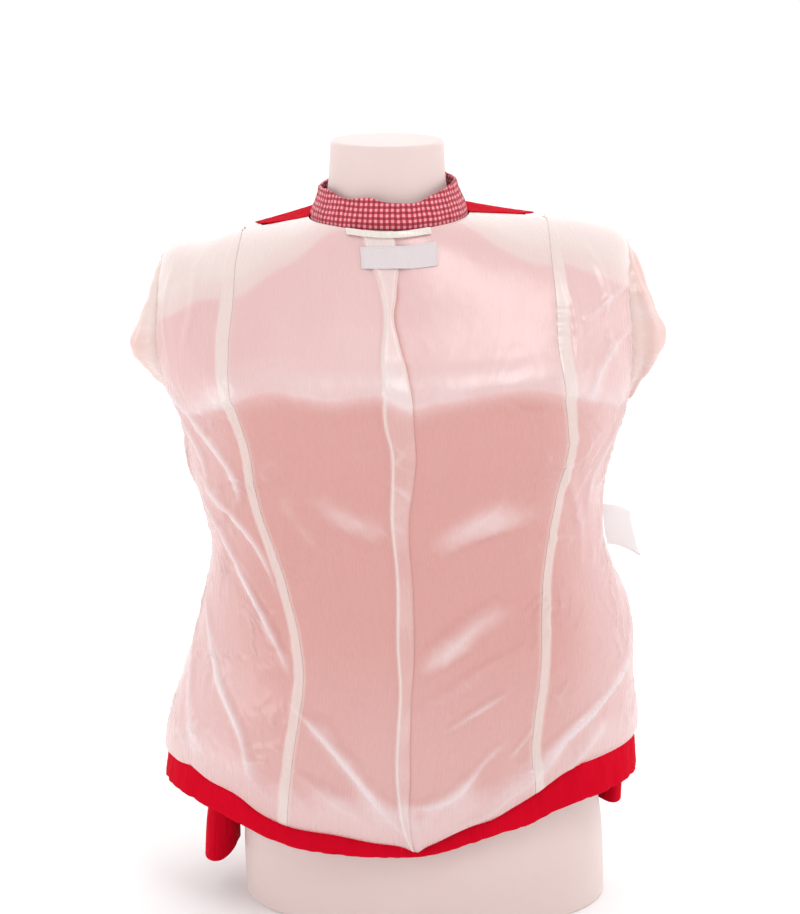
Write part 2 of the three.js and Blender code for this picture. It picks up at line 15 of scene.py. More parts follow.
import bpy
import numpy as np
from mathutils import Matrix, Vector

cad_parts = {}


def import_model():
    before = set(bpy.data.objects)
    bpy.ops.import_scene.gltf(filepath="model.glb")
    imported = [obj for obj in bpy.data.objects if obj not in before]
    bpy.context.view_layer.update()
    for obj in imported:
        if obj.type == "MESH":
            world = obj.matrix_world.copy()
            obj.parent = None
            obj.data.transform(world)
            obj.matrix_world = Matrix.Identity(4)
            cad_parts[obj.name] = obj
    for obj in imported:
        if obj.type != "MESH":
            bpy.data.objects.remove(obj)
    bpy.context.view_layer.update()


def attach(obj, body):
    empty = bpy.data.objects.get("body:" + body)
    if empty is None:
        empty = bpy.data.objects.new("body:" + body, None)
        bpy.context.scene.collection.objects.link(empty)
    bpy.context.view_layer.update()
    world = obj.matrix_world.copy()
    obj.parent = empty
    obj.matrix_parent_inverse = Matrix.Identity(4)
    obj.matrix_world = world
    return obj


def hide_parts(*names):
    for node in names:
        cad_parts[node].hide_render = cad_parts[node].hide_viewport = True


log = logging.getLogger("blazer")
MM = 0.001
WAVES = 9  # plain waves laid over each other in a ripple
BANDS_PITCH = 0.31416  # metres from band to band in a wave texture of scale 1
LEVEL_HEIGHT = 84.0  # the height of one level near the hem
Array = np.ndarray
Color = tuple[float, float, float]
Knots = tuple[tuple[float, float], ...]
Rows = tuple[tuple[float, ...], ...]
Piece = bpy.types.Object
Material = bpy.types.Material
Socket = bpy.types.NodeSocket
Curve = Callable[[Array], Array]


class Side(Enum):
    """The two sides of the blazer, with the sign used in the body's geometry."""

    LEFT = 1
    RIGHT = -1

    @property
    def label(self) -> str:
        """The side's word in piece names."""
        return self.name.lower()

    @property
    def ridge(self) -> float:
        """The angle of the shoulder and side ridge."""
        return 180.0 if self is Side.LEFT else 0.0


class Hold(Enum):
    """How a sheet of cloth is held."""

    HUNG = "hung"
    FOLDED = "folded"
    STRETCHED = "stretched"


# ---- small tools
def smooth(x: Array) -> Array:
    """Ease x from 0 to 1 with level ends."""
    x = np.clip(x, 0.0, 1.0)
    return x * x * (3 - 2 * x)


def ramp(x: Array, start: float, end: float) -> Array:
    """Rise smoothly from 0 at start to 1 at end."""
    return smooth((np.asarray(x, float) - start) / (end - start))


def mix(a: Array, b: Array, k: Array) -> Array:
    """Blend from a to b."""
    return a + (b - a) * k


def bump(x: Array, width: float) -> Array:
    """A rounded bell of the given half width at x = 0."""
    return np.exp(-((np.asarray(x, float) / width) ** 2))


def unit(v: Array) -> Array:
    """Scale vectors to length one."""
    return v / np.maximum(np.linalg.norm(v, axis=-1, keepdims=True), 1e-9)


def hermite(f: Array, start: Array, end: Array, leaving: Array, arriving: Array) -> Array:
    """Join start to end as f goes from 0 to 1, with the given slope at each."""
    f2, f3 = f * f, f * f * f
    ends = start * (2 * f3 - 3 * f2 + 1) + end * (3 * f2 - 2 * f3)
    return ends + leaving * (f3 - 2 * f2 + f) + arriving * (f3 - f2)


def spline(values: Sequence, t: Array) -> Array:
    """Follow a smooth curve through equally spaced values.

    Args:
        values: One value, or one row of values, for each whole t.
        t: Positions along the curve, counted in values.

    Returns:
        The curve at each t.
    """
    rows = np.asarray(values, float)
    last = len(rows) - 1
    t = np.clip(np.asarray(t, float), 0, last)
    k = np.clip(np.floor(t).astype(int), 0, last - 1)
    f = t - k if rows.ndim == 1 else (t - k)[..., None]
    before, after = rows[np.clip(k - 1, 0, last)], rows[np.clip(k + 2, 0, last)]
    return hermite(f, rows[k], rows[k + 1], (rows[k + 1] - before) / 2, (after - rows[k]) / 2)


def through(knots: Knots, x: Array) -> Array:
    """Read a curve that joins (position, value) knots, eased at each knot.

    Args:
        knots: Positions in rising order, each with its value.
        x: The positions to read.

    Returns:
        The curve's value at each x.
    """
    xs, ys = np.array(knots, float).T
    slopes = np.gradient(ys, xs)
    x = np.clip(x, xs[0], xs[-1])
    i = np.clip(np.searchsorted(xs, x, side="right") - 1, 0, len(xs) - 2)
    span = xs[i + 1] - xs[i]
    return hermite((x - xs[i]) / span, ys[i], ys[i + 1], span * slopes[i], span * slopes[i + 1])


def ripple(u: Array, v: Array, seed: int, wave: float, lean: float = 0.0) -> Array:
    """Soft irregular undulation over a sheet, about -1 to 1: plain waves over each other.

    Args:
        u: Positions across the sheet.
        v: Positions down the sheet.
        seed: Picks one pattern.
        wave: The usual distance from crest to crest.
        lean: 0 for any direction, towards 1 for folds that run down the sheet.

    Returns:
        The height at each position.
    """
    rng = np.random.default_rng(seed)
    total = np.zeros(np.broadcast(u, v).shape)
    for _ in range(WAVES):
        turn = rng.uniform(-1, 1) * math.pi / 2 * (1 - lean)
        length = wave * rng.uniform(0.6, 1.7)
        phase = rng.uniform(0, 2 * math.pi)
        total += np.sin(2 * math.pi / length * (u * math.cos(turn) + v * math.sin(turn)) + phase)
    return total / math.sqrt(WAVES)


def lengths(points: Array, axis: int) -> Array:
    """Distance along each line of a grid, from its first point."""
    steps = np.linalg.norm(np.diff(points, axis=axis), axis=-1)
    pad = [(0, 0), (0, 0)]
    pad[axis] = (1, 0)
    return np.pad(np.cumsum(steps, axis=axis), pad)


def run_of(path: Array) -> Array:
    """Distance along one line of points, from its first point."""
    return lengths(path[None], 1)[0]


def circle(count: int) -> Array:
    """Evenly spaced angles once round, in radians."""
    return np.linspace(0, 2 * math.pi, count, endpoint=False)


def sine(angle: Array) -> Array:
    """The sine of degrees round the body: 1 at the front, -1 at the back."""
    return np.sin(np.radians(angle))


# ---- the body surface
class Level(Enum):
    """Named levels of the blazer, counted in sections down from the neck seam."""

    PRINCESS = 2.0
    TIP = 4.0
    UNDERARM = 7.0
    HEM = 12.0


@dataclass(frozen=True)
class BodySurface:
    """The inner face of the blazer's shell, as stacked closed sections.

    Each section holds left x and z, right x and z, front y and z, back y and z, and the
    squareness of its front and back half.
    """

    sections: Rows = (
        (-110, 674, 39, 678, 73, 675, 66, 690, 2.0, 2.0),
        (-137, 669, 71, 677, 79, 661, 76, 680, 2.1, 2.1),
        (-170, 663, 109, 674, 88, 642, 87, 664, 2.1, 2.1),
        (-208, 652, 148, 670, 99, 619, 98, 642, 2.2, 2.2),
        (-242, 644, 182, 657, 111, 594, 106, 612, 2.4, 2.2),
        (-252, 602, 188, 614, 127, 567, 114, 568, 2.8, 2.3),
        (-248, 554, 189, 562, 144, 534, 120, 524, 3.0, 2.4),
        (-230, 500, 183, 502, 140, 480, 120, 476, 2.8, 2.4),
        (-222, 446, 166, 446, 127, 422, 115, 430, 2.5, 2.4),
        (-203, 366, 167, 368, 116, 345, 112, 354, 2.3, 2.3),
        (-217, 284, 195, 286, 117, 261, 123, 270, 2.3, 2.3),
        (-243, 198, 200, 204, 122, 171, 136, 184, 2.3, 2.3),
        (-256, 118, 207, 126, 126, 87, 144, 100, 2.4, 2.3),
    )
    drop: float = 0.02
    turn: float = 0.4

    def point(self, angle: Array, t: Array) -> Array:
        """Place points on the surface.

        Args:
            angle: 0 right, 90 front, 180 left and 270 back.
            t: Levels down from the neck seam.

        Returns:
            Points in millimetres.
        """
        angle, t = np.broadcast_arrays(np.asarray(angle, float), np.asarray(t, float))
        return ring_point(spline(self.sections, t), angle)

    def normal(self, angle: Array, t: Array) -> Array:
        """Find the outward direction at points on the surface."""
        t0 = np.clip(t, self.drop, Level.HEM.value - self.drop)
        across = self.point(angle + self.turn, t) - self.point(angle - self.turn, t)
        down = self.point(angle, t0 + self.drop) - self.point(angle, t0 - self.drop)
        return unit(np.cross(across, down))

    def middle(self, t: Array) -> Array:
        """The x of the front middle line at each level."""
        return self.point(90.0, t)[..., 0]

    def angle_at(self, t: Array, offset: Array, front: bool) -> Array:
        """Find the angle where x lies at an offset from the middle line.

        Args:
            t: Levels.
            offset: Distance to the right of the middle line.
            front: Whether the front or the back half is meant.

        Returns:
            Angles in degrees.
        """
        section = spline(self.sections, t)
        target = self.middle(t) + offset
        low = np.full(np.shape(target), 0.0 if front else 360.0)
        high = np.full(np.shape(target), 180.0)
        for _ in range(26):
            guess = (low + high) / 2
            beyond = ring_point(section, guess)[..., 0] > target
            low, high = np.where(beyond, guess, low), np.where(beyond, high, guess)
        return (low + high) / 2

    def unrolled(self) -> tuple[Array, Array, Array]:
        """Tabulate the distance round the body from the front middle line.

        Returns:
            The table's levels, its angles from -90 to 270, and the distances, positive to
            the right.
        """
        levels = np.linspace(0, Level.HEM.value, 97)
        angles = np.linspace(-90, 270, 361)
        reach = lengths(self.point(angles[None, :], levels[:, None]), 1)
        middle = np.searchsorted(angles, 90)
        return levels, angles, reach[:, middle, None] - reach


def ring_point(section: Array, angle: Array) -> Array:
    """Place points on closed sections.

    Args:
        section: Section rows, as in BodySurface.
        angle: Angles in degrees, broadcast against the rows.

    Returns:
        Points in millimetres.
    """
    columns = np.moveaxis(np.asarray(section, float), -1, 0)
    left_x, left_z, right_x, right_z, front_y, front_z, back_y, back_z, front_sq, back_sq = columns
    c, s = np.cos(np.radians(angle)), np.sin(np.radians(angle))
    front = s >= 0
    depth = np.where(front, front_y, back_y)
    square = np.where(front, front_sq, back_sq)
    half = (right_x - left_x) / 2
    reach = (np.abs(c / half) ** square + np.abs(s / depth) ** square) ** (-1 / square)
    x = (right_x + left_x) / 2 + reach * c
    y = -reach * s
    side_z = mix(left_z, right_z, (x - left_x) / (2 * half))
    z = mix(side_z, np.where(front, front_z, back_z), (y / depth) ** 2)
    return np.stack([x, y, z], axis=-1)


BODY = BodySurface()
UNROLLED = BODY.unrolled()


def around(angle: Array, t: Array) -> Array:
    """Distance round the body from the front middle line, positive to the right."""
    levels, angles, table = UNROLLED
    i = np.clip(np.asarray(t, float) / (levels[1] - levels[0]), 0, len(levels) - 1.001)
    j = np.clip(np.asarray(angle, float) + 90, 0, len(angles) - 1.001)
    i0, j0 = i.astype(int), j.astype(int)
    fi, fj = i - i0, j - j0
    top = mix(table[i0, j0], table[i0, j0 + 1], fj)
    return mix(top, mix(table[i0 + 1, j0], table[i0 + 1, j0 + 1], fj), fi)


# ---- seams
@dataclass(frozen=True)
class Seams:
    """Where the panels meet, as offsets from the middle line at each whole level."""

    back_left: tuple[float, ...] = (141, 145, 146, 147, 146, 137, 125, 112, 104, 105, 108)
    back_right: tuple[float, ...] = (141, 142, 145, 148, 150, 149, 143, 124, 116, 119, 136)
    front: tuple[float, ...] = (141, 132, 124, 120, 118, 114, 108, 104, 110, 118, 124)
    facing: tuple[float, ...] = (132, 106, 88, 80, 78, 77, 77, 78, 82, 88, 94)
    facing_level: float = 1.5
    start: float = 2.0
    armhole: float = 13.0
    fullness: float = 0.6
    edge_neck: float = 9.0
    edge_hem: float = 26.0

    def _offset_seam(self, offsets: Sequence[float], side: Side, front: bool, t: Array) -> Array:
        """Turn a seam's offsets into angles, keeping the panels' pointed starts open."""
        first = Level.PRINCESS.value
        offset = spline(offsets, np.maximum(t, first) - first)
        found = BODY.angle_at(t, -side.value * offset, front)
        turned = np.abs((found - side.ridge + 540) % 360 - 180)
        inward = -side.value if front else side.value
        return side.ridge + inward * np.maximum(turned, self.start)

    def _princess(self, offsets: Sequence[float], side: Side, front: bool) -> Curve:
        """A seam that lies on the ridge until the side panels start."""
        return lambda t: np.where(t < Level.PRINCESS.value, side.ridge,
                                  self._offset_seam(offsets, side, front, t))

    def princess_back(self, side: Side) -> Curve:
        """The seam beside the blazer's back panel."""
        return self._princess(self.back_left if side is Side.LEFT else self.back_right, side, True)

    def princess_front(self, side: Side) -> Curve:
        """The seam beside the blazer's front panel."""
        return self._princess(self.front, side, False)

    def facing_edge(self, side: Side) -> Curve:
        """The inner edge of the front facing."""

        def seam(t: Array) -> Array:
            """Angles of the edge at levels t."""
            first = Level.PRINCESS.value
            full = self._offset_seam(self.facing, side, False, np.maximum(t, first))
            start = side.ridge + side.value * self.start
            eased = mix(start, full, ramp(t, self.facing_level, first))
            return np.where(t < self.facing_level, side.ridge, eased)

        return seam

    def armhole_edge(self, side: Side, front: bool) -> Curve:
        """The edge of a side panel: the armhole, and the side seam above and below it."""

        def seam(t: Array) -> Array:
            """Angles of the edge at levels t."""
            span = Level.UNDERARM.value - Level.TIP.value
            k = np.clip((t - Level.TIP.value) / span, 0, 1)
            half = self.armhole * np.sin(math.pi * k).clip(0) ** self.fullness
            return side.ridge + (-side.value if front else side.value) * half

        return seam

    def edge_offset(self, t: Array) -> Array:
        """Distance of the open front edges from the middle line."""
        return mix(self.edge_neck, self.edge_hem, t / Level.HEM.value)

    def front_edge(self, side: Side) -> Curve:
        """The blazer's open front edge."""
        turn = 0.0 if side is Side.LEFT else 360.0
        return lambda t: BODY.angle_at(t, -side.value * self.edge_offset(t), False) - turn

    @staticmethod
    def at_offset(knots: Knots, shift: float = 0.0) -> Curve:
        """A line down the front half, at (level, offset from the middle) knots."""
        return lambda t: BODY.angle_at(t, through(knots, t) + shift, True)


def centre(t: Array) -> Array:
    """The blazer's centre back seam."""
    return np.full(np.shape(t), 90.0)


SEAMS = Seams()


# ---- layers, 0 at the body surface
@dataclass(frozen=True)
class Layer:
    """The inner and outer face of one thickness of cloth, out from the body surface."""

    inner: float
    outer: float

    @property
    def middle(self) -> float:
        """The depth of the cloth's middle surface."""
        return (self.inner + self.outer) / 2

    @property
    def thickness(self) -> float:
        """The cloth's thickness."""
        return self.outer - self.inner


SHELL = Layer(0.0, 1.2)
HEM_TURN = Layer(1.5, 2.7)
LINING = Layer(3.0, 4.0)
FACING = Layer(3.7, 4.9)


# ---- meshes
def mesh_object(name: str, points: Array, faces: Sequence[Array], sharp: float = 50.0) -> Piece:
    """Make a mesh object from points and faces.

    Args:
        name: The piece's name.
        points: Points in millimetres.
        faces: Arrays of vertex numbers, one array for each count of corners.
        sharp: Edges that turn more than this many degrees are kept crisp.

    Returns:
        The new object, linked to the scene.
    """
    mesh = bpy.data.meshes.new(name)
    loops = np.concatenate([f.ravel() for f in faces]).astype(np.int32)
    sizes = np.concatenate([np.full(len(f), f.shape[1]) for f in faces]).astype(np.int32)
    starts = np.concatenate([[0], np.cumsum(sizes)[:-1]]).astype(np.int32)
    mesh.vertices.add(len(points))
    mesh.vertices.foreach_set("co", (points * MM).astype(np.float32).ravel())
    mesh.loops.add(len(loops))
    mesh.loops.foreach_set("vertex_index", loops)
    mesh.polygons.add(len(sizes))
    mesh.polygons.foreach_set("loop_start", starts)
    mesh.polygons.foreach_set("use_smooth", np.ones(len(sizes), bool))
    mesh.update(calc_edges=True)
    mesh.validate()
    mesh.set_sharp_from_angle(angle=math.radians(sharp))
    piece = bpy.data.objects.new(name, mesh)
    bpy.context.scene.collection.objects.link(piece)
    return piece


def set_uv(piece: Piece, uv: Array) -> None:
    """Lay a flat pattern over a mesh.

    Args:
        piece: The mesh object.
        uv: One (across, along) pair in millimetres for each vertex.
    """
    mesh = piece.data
    corner = np.empty(len(mesh.loops), np.int32)
    mesh.loops.foreach_get("vertex_index", corner)
    layer = mesh.uv_layers.new(name="cut")
    layer.data.foreach_set("uv", (uv[corner] * MM).astype(np.float32).ravel())


def set_attribute(piece: Piece, name: str, values: Array) -> None:
    """Store one number for each vertex under a name that a finish reads."""
    attribute = piece.data.attributes.new(name, "FLOAT", "POINT")
    attribute.data.foreach_set("value", np.asarray(values, np.float32).ravel())


def grid_faces(rows: int, columns: int, first: int = 0, closed: bool = False,
               flip: bool = False) -> Array:
    """Number the quads of a grid of vertices.

    Args:
        rows: Rows of vertices.
        columns: Vertices in each row.
        first: The number of the grid's first vertex.
        closed: Whether each row closes on itself.
        flip: Whether the faces look the other way.

    Returns:
        An array of quads.
    """
    i = np.arange(rows - 1)[:, None] * columns
    j = np.arange(columns if closed else columns - 1)[None, :]
    k = (j + 1) % columns
    corners = np.broadcast_arrays(i + j, i + columns + j, i + columns + k, i + k)
    quad = np.stack(corners, axis=-1).reshape(-1, 4) + first
    return quad[:, ::-1] if flip else quad


def capped(name: str, rings: Array, sharp: float = 50.0) -> Piece:
    """Make a solid from a stack of closed rings, with a fan of faces over each end.

    Args:
        name: The piece's name.
        rings: The rings, each a row of points.
        sharp: Edges that turn more than this many degrees are kept crisp.

    Returns:
        The new object.
    """
    count, columns = rings.shape[:2]
    middles = rings[[0, -1]].mean(axis=1)
    ring = np.arange(columns)
    after = (ring + 1) % columns
    last, middle = (count - 1) * columns, np.full_like(ring, count * columns)
    fans = [np.stack([middle, ring, after], axis=-1),
            np.stack([middle + 1, last + after, last + ring], axis=-1)]
    points = np.concatenate([rings.reshape(-1, 3), middles])
    return mesh_object(name, points, [grid_faces(count, columns, closed=True), *fans], sharp)


@dataclass
class Cloth:
    """A thin closed sheet of cloth between an inner and an outer grid of points."""

    inner: Array
    outer: Array
    uv: Array
    tints: dict[str, Array] = field(default_factory=dict)
    closed: bool = False

    def build(self, name: str) -> Piece:
        """Make the sheet's mesh, with its pattern and tints.

        Args:
            name: The piece's name.

        Returns:
            The new object.
        """
        rows, columns = self.inner.shape[:2]
        shift, last = rows * columns, (rows - 1) * columns
        points = np.concatenate([self.inner.reshape(-1, 3), self.outer.reshape(-1, 3)])
        faces = [grid_faces(rows, columns, 0, self.closed, True),
                 grid_faces(rows, columns, shift, self.closed)]
        ring = np.arange(columns if self.closed else columns - 1)
        after = (ring + 1) % columns
        edges = [(ring, after), (last + after, last + ring)]
        if not self.closed:
            down = np.arange(rows - 1) * columns
            edges += [(down + columns, down), (down + columns - 1, down + 2 * columns - 1)]
        faces += [np.stack([a, a + shift, b + shift, b], axis=-1) for a, b in edges]
        if self._inside_out(points, faces):
            faces = [f[:, ::-1] for f in faces]
        piece = mesh_object(name, points, faces)
        set_uv(piece, np.concatenate([self.uv.reshape(-1, 2)] * 2))
        for tint, values in self.tints.items():
            set_attribute(piece, tint, np.concatenate([values.ravel()] * 2))
        return piece

    @staticmethod
    def _inside_out(points: Array, faces: Sequence[Array]) -> bool:
        """Whether the closed surface's faces look inwards."""
        quads = np.concatenate(faces)
        a, b, c, d = (points[quads[:, k]] for k in range(4))
        volume = np.einsum("ij,ij->", a, np.cross(b, c)) + np.einsum("ij,ij->", a, np.cross(c, d))
        return volume < 0


def sheet_normals(points: Array, closed: bool = False) -> Array:
    """Directions square to a grid of points, rows by columns.

    Args:
        points: The grid.
        closed: Whether each row closes on itself.

    Returns:
        Unit vectors, along rows crossed with across columns.
    """
    along = np.gradient(points, axis=0)
    if closed:
        across = np.roll(points, -1, axis=1) - np.roll(points, 1, axis=1)
    else:
        across = np.gradient(points, axis=1)
    return unit(np.cross(along, across))


# ---- finishes
@dataclass
class Graph:
    """The node tree of one finish, with short calls that add and join nodes."""

    material: Material

    @classmethod
    def new(cls, name: str) -> Graph:
        """Start a finish with an empty surface shader."""
        material = bpy.data.materials.new(name)
        material.use_nodes = True
        return cls(material)

    def add(self, kind: str, inputs: dict | None = None, **settings: object) -> bpy.types.Node:
        """Add a node.

        Args:
            kind: The node's type, without ShaderNode.
            inputs: Sockets by name or number, each with a value or a socket to join.
            **settings: The node's own properties.

        Returns:
            The new node.
        """
        node = self.material.node_tree.nodes.new("ShaderNode" + kind)
        for key, value in settings.items():
            setattr(node, key, value)
        for key, value in (inputs or {}).items():
            self.feed(node.inputs[key], value)
        return node

    def feed(self, socket: Socket, value: object) -> None:
        """Give a socket a plain value, or join another socket to it."""
        if isinstance(value, Socket):
            self.material.node_tree.links.new(value, socket)
        elif isinstance(value, tuple) and len(value) == 3 and socket.type == "RGBA":
            socket.default_value = (*value, 1.0)
        else:
            socket.default_value = value

    def math(self, operation: str, a: object, b: object = 0.0, c: object = 0.0,
             clamp: bool = False) -> Socket:
        """Combine numbers."""
        node = self.add("Math", {0: a, 1: b, 2: c}, operation=operation, use_clamp=clamp)
        return node.outputs[0]

    def blend(self, k: object, a: object, b: object, share: float = 1.0) -> Socket:
        """Blend from colour a to colour b by a share of k."""
        node = self.add("Mix", data_type="RGBA")
        if share != 1:
            k = self.math("MULTIPLY", k, share)
        for number, value in ((0, k), (6, a), (7, b)):
            self.feed(node.inputs[number], value)
        return node.outputs[2]

    def tint(self, name: str) -> Socket:
        """Read a number stored on the mesh."""
        return self.add("Attribute", attribute_name=name).outputs["Fac"]

    def pattern(self) -> Socket:
        """Positions in metres on the flat cut."""
        return self.add("UVMap", uv_map="cut").outputs[0]

    def place(self) -> Socket:
        """Positions in metres on the object."""
        return self.add("TexCoord").outputs["Object"]

    def noise(self, where: object, scale: float, detail: float = 2.0,
              rough: float = 0.5) -> Socket:
        """Cloudy variation from 0 to 1."""
        inputs = {"Vector": where, "Scale": scale, "Detail": detail, "Roughness": rough}
        return self.add("TexNoise", inputs).outputs["Fac"]

    def stretched(self, where: object, scale: Color, turn: float = 0.0) -> Socket:
        """Scale and turn positions, to draw a pattern out one way."""
        turned = (0.0, 0.0, math.radians(turn))
        inputs = {"Vector": where, "Scale": scale, "Rotation": turned}
        return self.add("Mapping", inputs).outputs[0]

    def threads(self, where: object, pitch: float, direction: str, wander: float = 0.0) -> Socket:
        """Parallel threads from 0 to 1.

        Args:
            where: Positions in metres.
            pitch: Distance between threads in metres.
            direction: X, Y or DIAGONAL.
            wander: How far the threads stray.

        Returns:
            The threads' height.
        """
        scale = BANDS_PITCH / pitch
        inputs = {"Vector": where, "Scale": scale, "Distortion": wander, "Detail": 1.0}
        return self.add("TexWave", inputs, bands_direction=direction).outputs["Fac"]

    def weave(self, where: object, pitch: float, wander: float) -> Socket:
        """Threads both ways, highest where they cross."""
        warp, weft = (self.threads(where, pitch, way, wander) for way in "XY")
        return self.math("MULTIPLY", warp, weft)

    def relief(self, height: object, distance: float, strength: float = 1.0,
               under: object = None) -> Socket:
        """Turn a height into a surface direction, over an earlier one if given."""
        inputs = {"Height": height, "Distance": distance, "Strength": strength}
        if under is not None:
            inputs["Normal"] = under
        return self.add("Bump", inputs).outputs[0]

    def finish(self, color: object, roughness: object, normal: object,
               **plain: object) -> Material:
        """Join the surface shader and return the finished material.

        Args:
            color: The base colour.
            roughness: The roughness.
            normal: The surface direction.
            **plain: Other shader sockets, named with _ for spaces.

        Returns:
            The material.
        """
        values = {"Base Color": color, "Roughness": roughness, "Normal": normal}
        values.update({key.replace("_", " "): value for key, value in plain.items()})
        shader = self.material.node_tree.nodes["Principled BSDF"]
        for key, value in values.items():
            self.feed(shader.inputs[key], value)
        return self.material


@dataclass(frozen=True)
class Finish:
    """A surface finish and the record's material slot it belongs to."""

    name: str
    slot: str

    def material(self) -> Material:
        """Get the finish's material, making it the first time."""
        return bpy.data.materials.get(self.name) or self.make(Graph.new(self.name))

    def make(self, graph: Graph) -> Material:
        """Draw the finish; each kind of finish has its own."""
        raise NotImplementedError

    def dress(self, piece: Piece) -> None:
        """Give a piece this finish."""
        piece.data.materials.append(self.material())


@dataclass(frozen=True)
class Satin(Finish):
    """Thin ivory satin that lets what lies under it show: red cloth, or pale seam turnings. Its
    tints also carry painted shade and painted highlights.
    """

    over_red: Color = (0.685, 0.462, 0.455)
    # Deeper pink where the satin lies close on the red, also used as painted shade.
    close_red_and_shade: Color = (0.575, 0.272, 0.248)
    over_cream: Color = (0.71, 0.64, 0.60)
    # Paler where the satin stands off the red, also used as painted highlight on crests.
    loose: Color = (0.72, 0.585, 0.59)
    slub: Color = (0.9, 0.82, 0.8)
    roughness: float = 0.27
    thread: float = 0.00042

    def make(self, graph: Graph) -> Material:
        """Blend the colours by what lies under the satin and by the painted shade and highlights,
        and weave it.
        """
        cut, spot = graph.pattern(), graph.place()
        cloud = graph.noise(graph.stretched(spot, (1.0, 1.0, 0.55)), 9.0, 3.0)
        cloud = graph.math("MULTIPLY_ADD", cloud, 1.5, -0.35, clamp=True)
        # The deep tint: red showing through, and painted shade under the bust, below the pleat's
        # edge and in the sleeves' gathers.
        color = graph.blend(graph.tint("deep"), self.over_red, self.close_red_and_shade)
        color = graph.blend(cloud, color, self.close_red_and_shade, 0.32)
        # Paler satin lifted off the red, and painted highlights on fold and gather crests.
        color = graph.blend(graph.tint("loose"), color, self.loose)
        color = graph.blend(graph.tint("cream"), color, self.over_cream)
        warp = graph.threads(graph.stretched(cut, (1.0, 0.3, 1.0)), self.thread, "DIAGONAL", 0.6)
        slub = graph.noise(graph.stretched(cut, (1.0, 0.05, 1.0)), 210.0, 1.0, 0.4)
        color = graph.blend(slub, color, self.slub, 0.022)
        crumple = graph.noise(graph.stretched(cut, (1.0, 0.4, 1.0), 20.0), 38.0, 2.0, 0.5)
        normal = graph.relief(crumple, 0.0016, 0.17)
        normal = graph.relief(slub, 0.00004, 0.05, normal)
        normal = graph.relief(warp, 0.00002, 0.15, normal)
        shine = graph.math("MULTIPLY_ADD", slub, 0.05, self.roughness - 0.02)
        return graph.finish(color, shine, normal, Sheen_Weight=0.22, Sheen_Roughness=0.35,
                            Sheen_Tint=(1.0, 0.93, 0.92, 1.0), Specular_IOR_Level=0.66,
                            Anisotropic=0.35)


@dataclass(frozen=True)
class RedCloth(Finish):
    """Fine matt red wool cloth."""

    color: Color = (0.60, 0.0015, 0.016)
    pressed: Color = (0.40, 0.0005, 0.008)
    nap: Color = (0.70, 0.006, 0.03)
    thread: float = 0.0007

    def make(self, graph: Graph) -> Material:
        """Weave the cloth and lay its short nap over it."""
        cut = graph.pattern()
        weave = graph.weave(cut, self.thread, 1.2)
        nap = graph.noise(cut, 2600.0, 3.0, 0.7)
        cloud = graph.noise(graph.place(), 14.0, 3.0)
        worn = graph.math("MULTIPLY", weave, -0.3)
        depth = graph.math("ADD", graph.math("MULTIPLY", cloud, 0.55), worn)
        color = graph.blend(graph.math("MAXIMUM", depth, 0.0), self.color, self.pressed)
        color = graph.blend(nap, color, self.nap, 0.12)
        wrinkle = graph.noise(graph.stretched(cut, (1.0, 0.28, 1.0)), 70.0, 3.0, 0.55)
        normal = graph.relief(wrinkle, 0.004, 0.75)
        normal = graph.relief(weave, 0.00012, 0.6, normal)
        normal = graph.relief(nap, 0.00008, 0.5, normal)
        return graph.finish(color, 0.88, normal, Sheen_Weight=0.04, Sheen_Roughness=0.4,
                            Sheen_Tint=(1.0, 0.1, 0.15, 1.0), Specular_IOR_Level=0.04)


@dataclass(frozen=True)
class CheckCloth(Finish):
    """Small red and white check: stripes both ways, darkest where they cross."""

    white: Color = (0.78, 0.31, 0.36)
    single: Color = (0.50, 0.014, 0.04)
    double: Color = (0.17, 0.0005, 0.007)
    lint: Color = (0.9, 0.6, 0.62)
    repeat: float = 0.0051
    thread: float = 0.00042

    def stripes(self, graph: Graph, along: object) -> Socket:
        """Red and white stripes of equal width, 0 on white and 1 on red."""
        turned = graph.math("MULTIPLY", along, 2 * math.pi / self.repeat)
        return graph.math("MULTIPLY_ADD", graph.math("SINE", turned), 3.5, 0.5, clamp=True)

    def make(self, graph: Graph) -> Material:
        """Cross the stripes and weave them."""
        cut = graph.pattern()
        parts = graph.add("SeparateXYZ", {0: cut})
        wander = graph.math("MULTIPLY", graph.noise(cut, 45.0), 0.0024)
        across = self.stripes(graph, graph.math("ADD", parts.outputs[0], wander))
        along = self.stripes(graph, graph.math("ADD", parts.outputs[1], wander))
        once = graph.math("MAXIMUM", across, along)
        twice = graph.math("MULTIPLY", across, along)
        color = graph.blend(twice, graph.blend(once, self.white, self.single), self.double)
        weave = graph.weave(cut, self.thread, 0.8)
        color = graph.blend(weave, color, self.lint, 0.2)
        normal = graph.relief(graph.noise(cut, 90.0, 3.0), 0.0010, 0.35)
        normal = graph.relief(weave, 0.0001, 0.7, normal)
        return graph.finish(color, 0.8, normal, Sheen_Weight=0.15, Specular_IOR_Level=0.3)


@dataclass(frozen=True)
class LabelCloth(Finish):
    """Close woven ribbon with a faint sheen."""

    color: Color = (0.66, 0.585, 0.60)
    ground: Color = (0.57, 0.50, 0.52)
    thread: float = 0.00035

    def make(self, graph: Graph) -> Material:
        """Weave the ribbon."""
        cut = graph.pattern()
        rib = graph.threads(cut, self.thread, "Y", 0.4)
        nap = graph.noise(graph.stretched(cut, (0.2, 1.0, 1.0)), 1600.0, 2.0)
        color = graph.blend(nap, self.color, self.ground, 0.5)
        normal = graph.relief(graph.noise(cut, 60.0, 2.0), 0.0006, 0.35)
        normal = graph.relief(rib, 0.00006, 0.6, normal)
        return graph.finish(color, 0.48, normal, Sheen_Weight=0.1, Specular_IOR_Level=0.4)


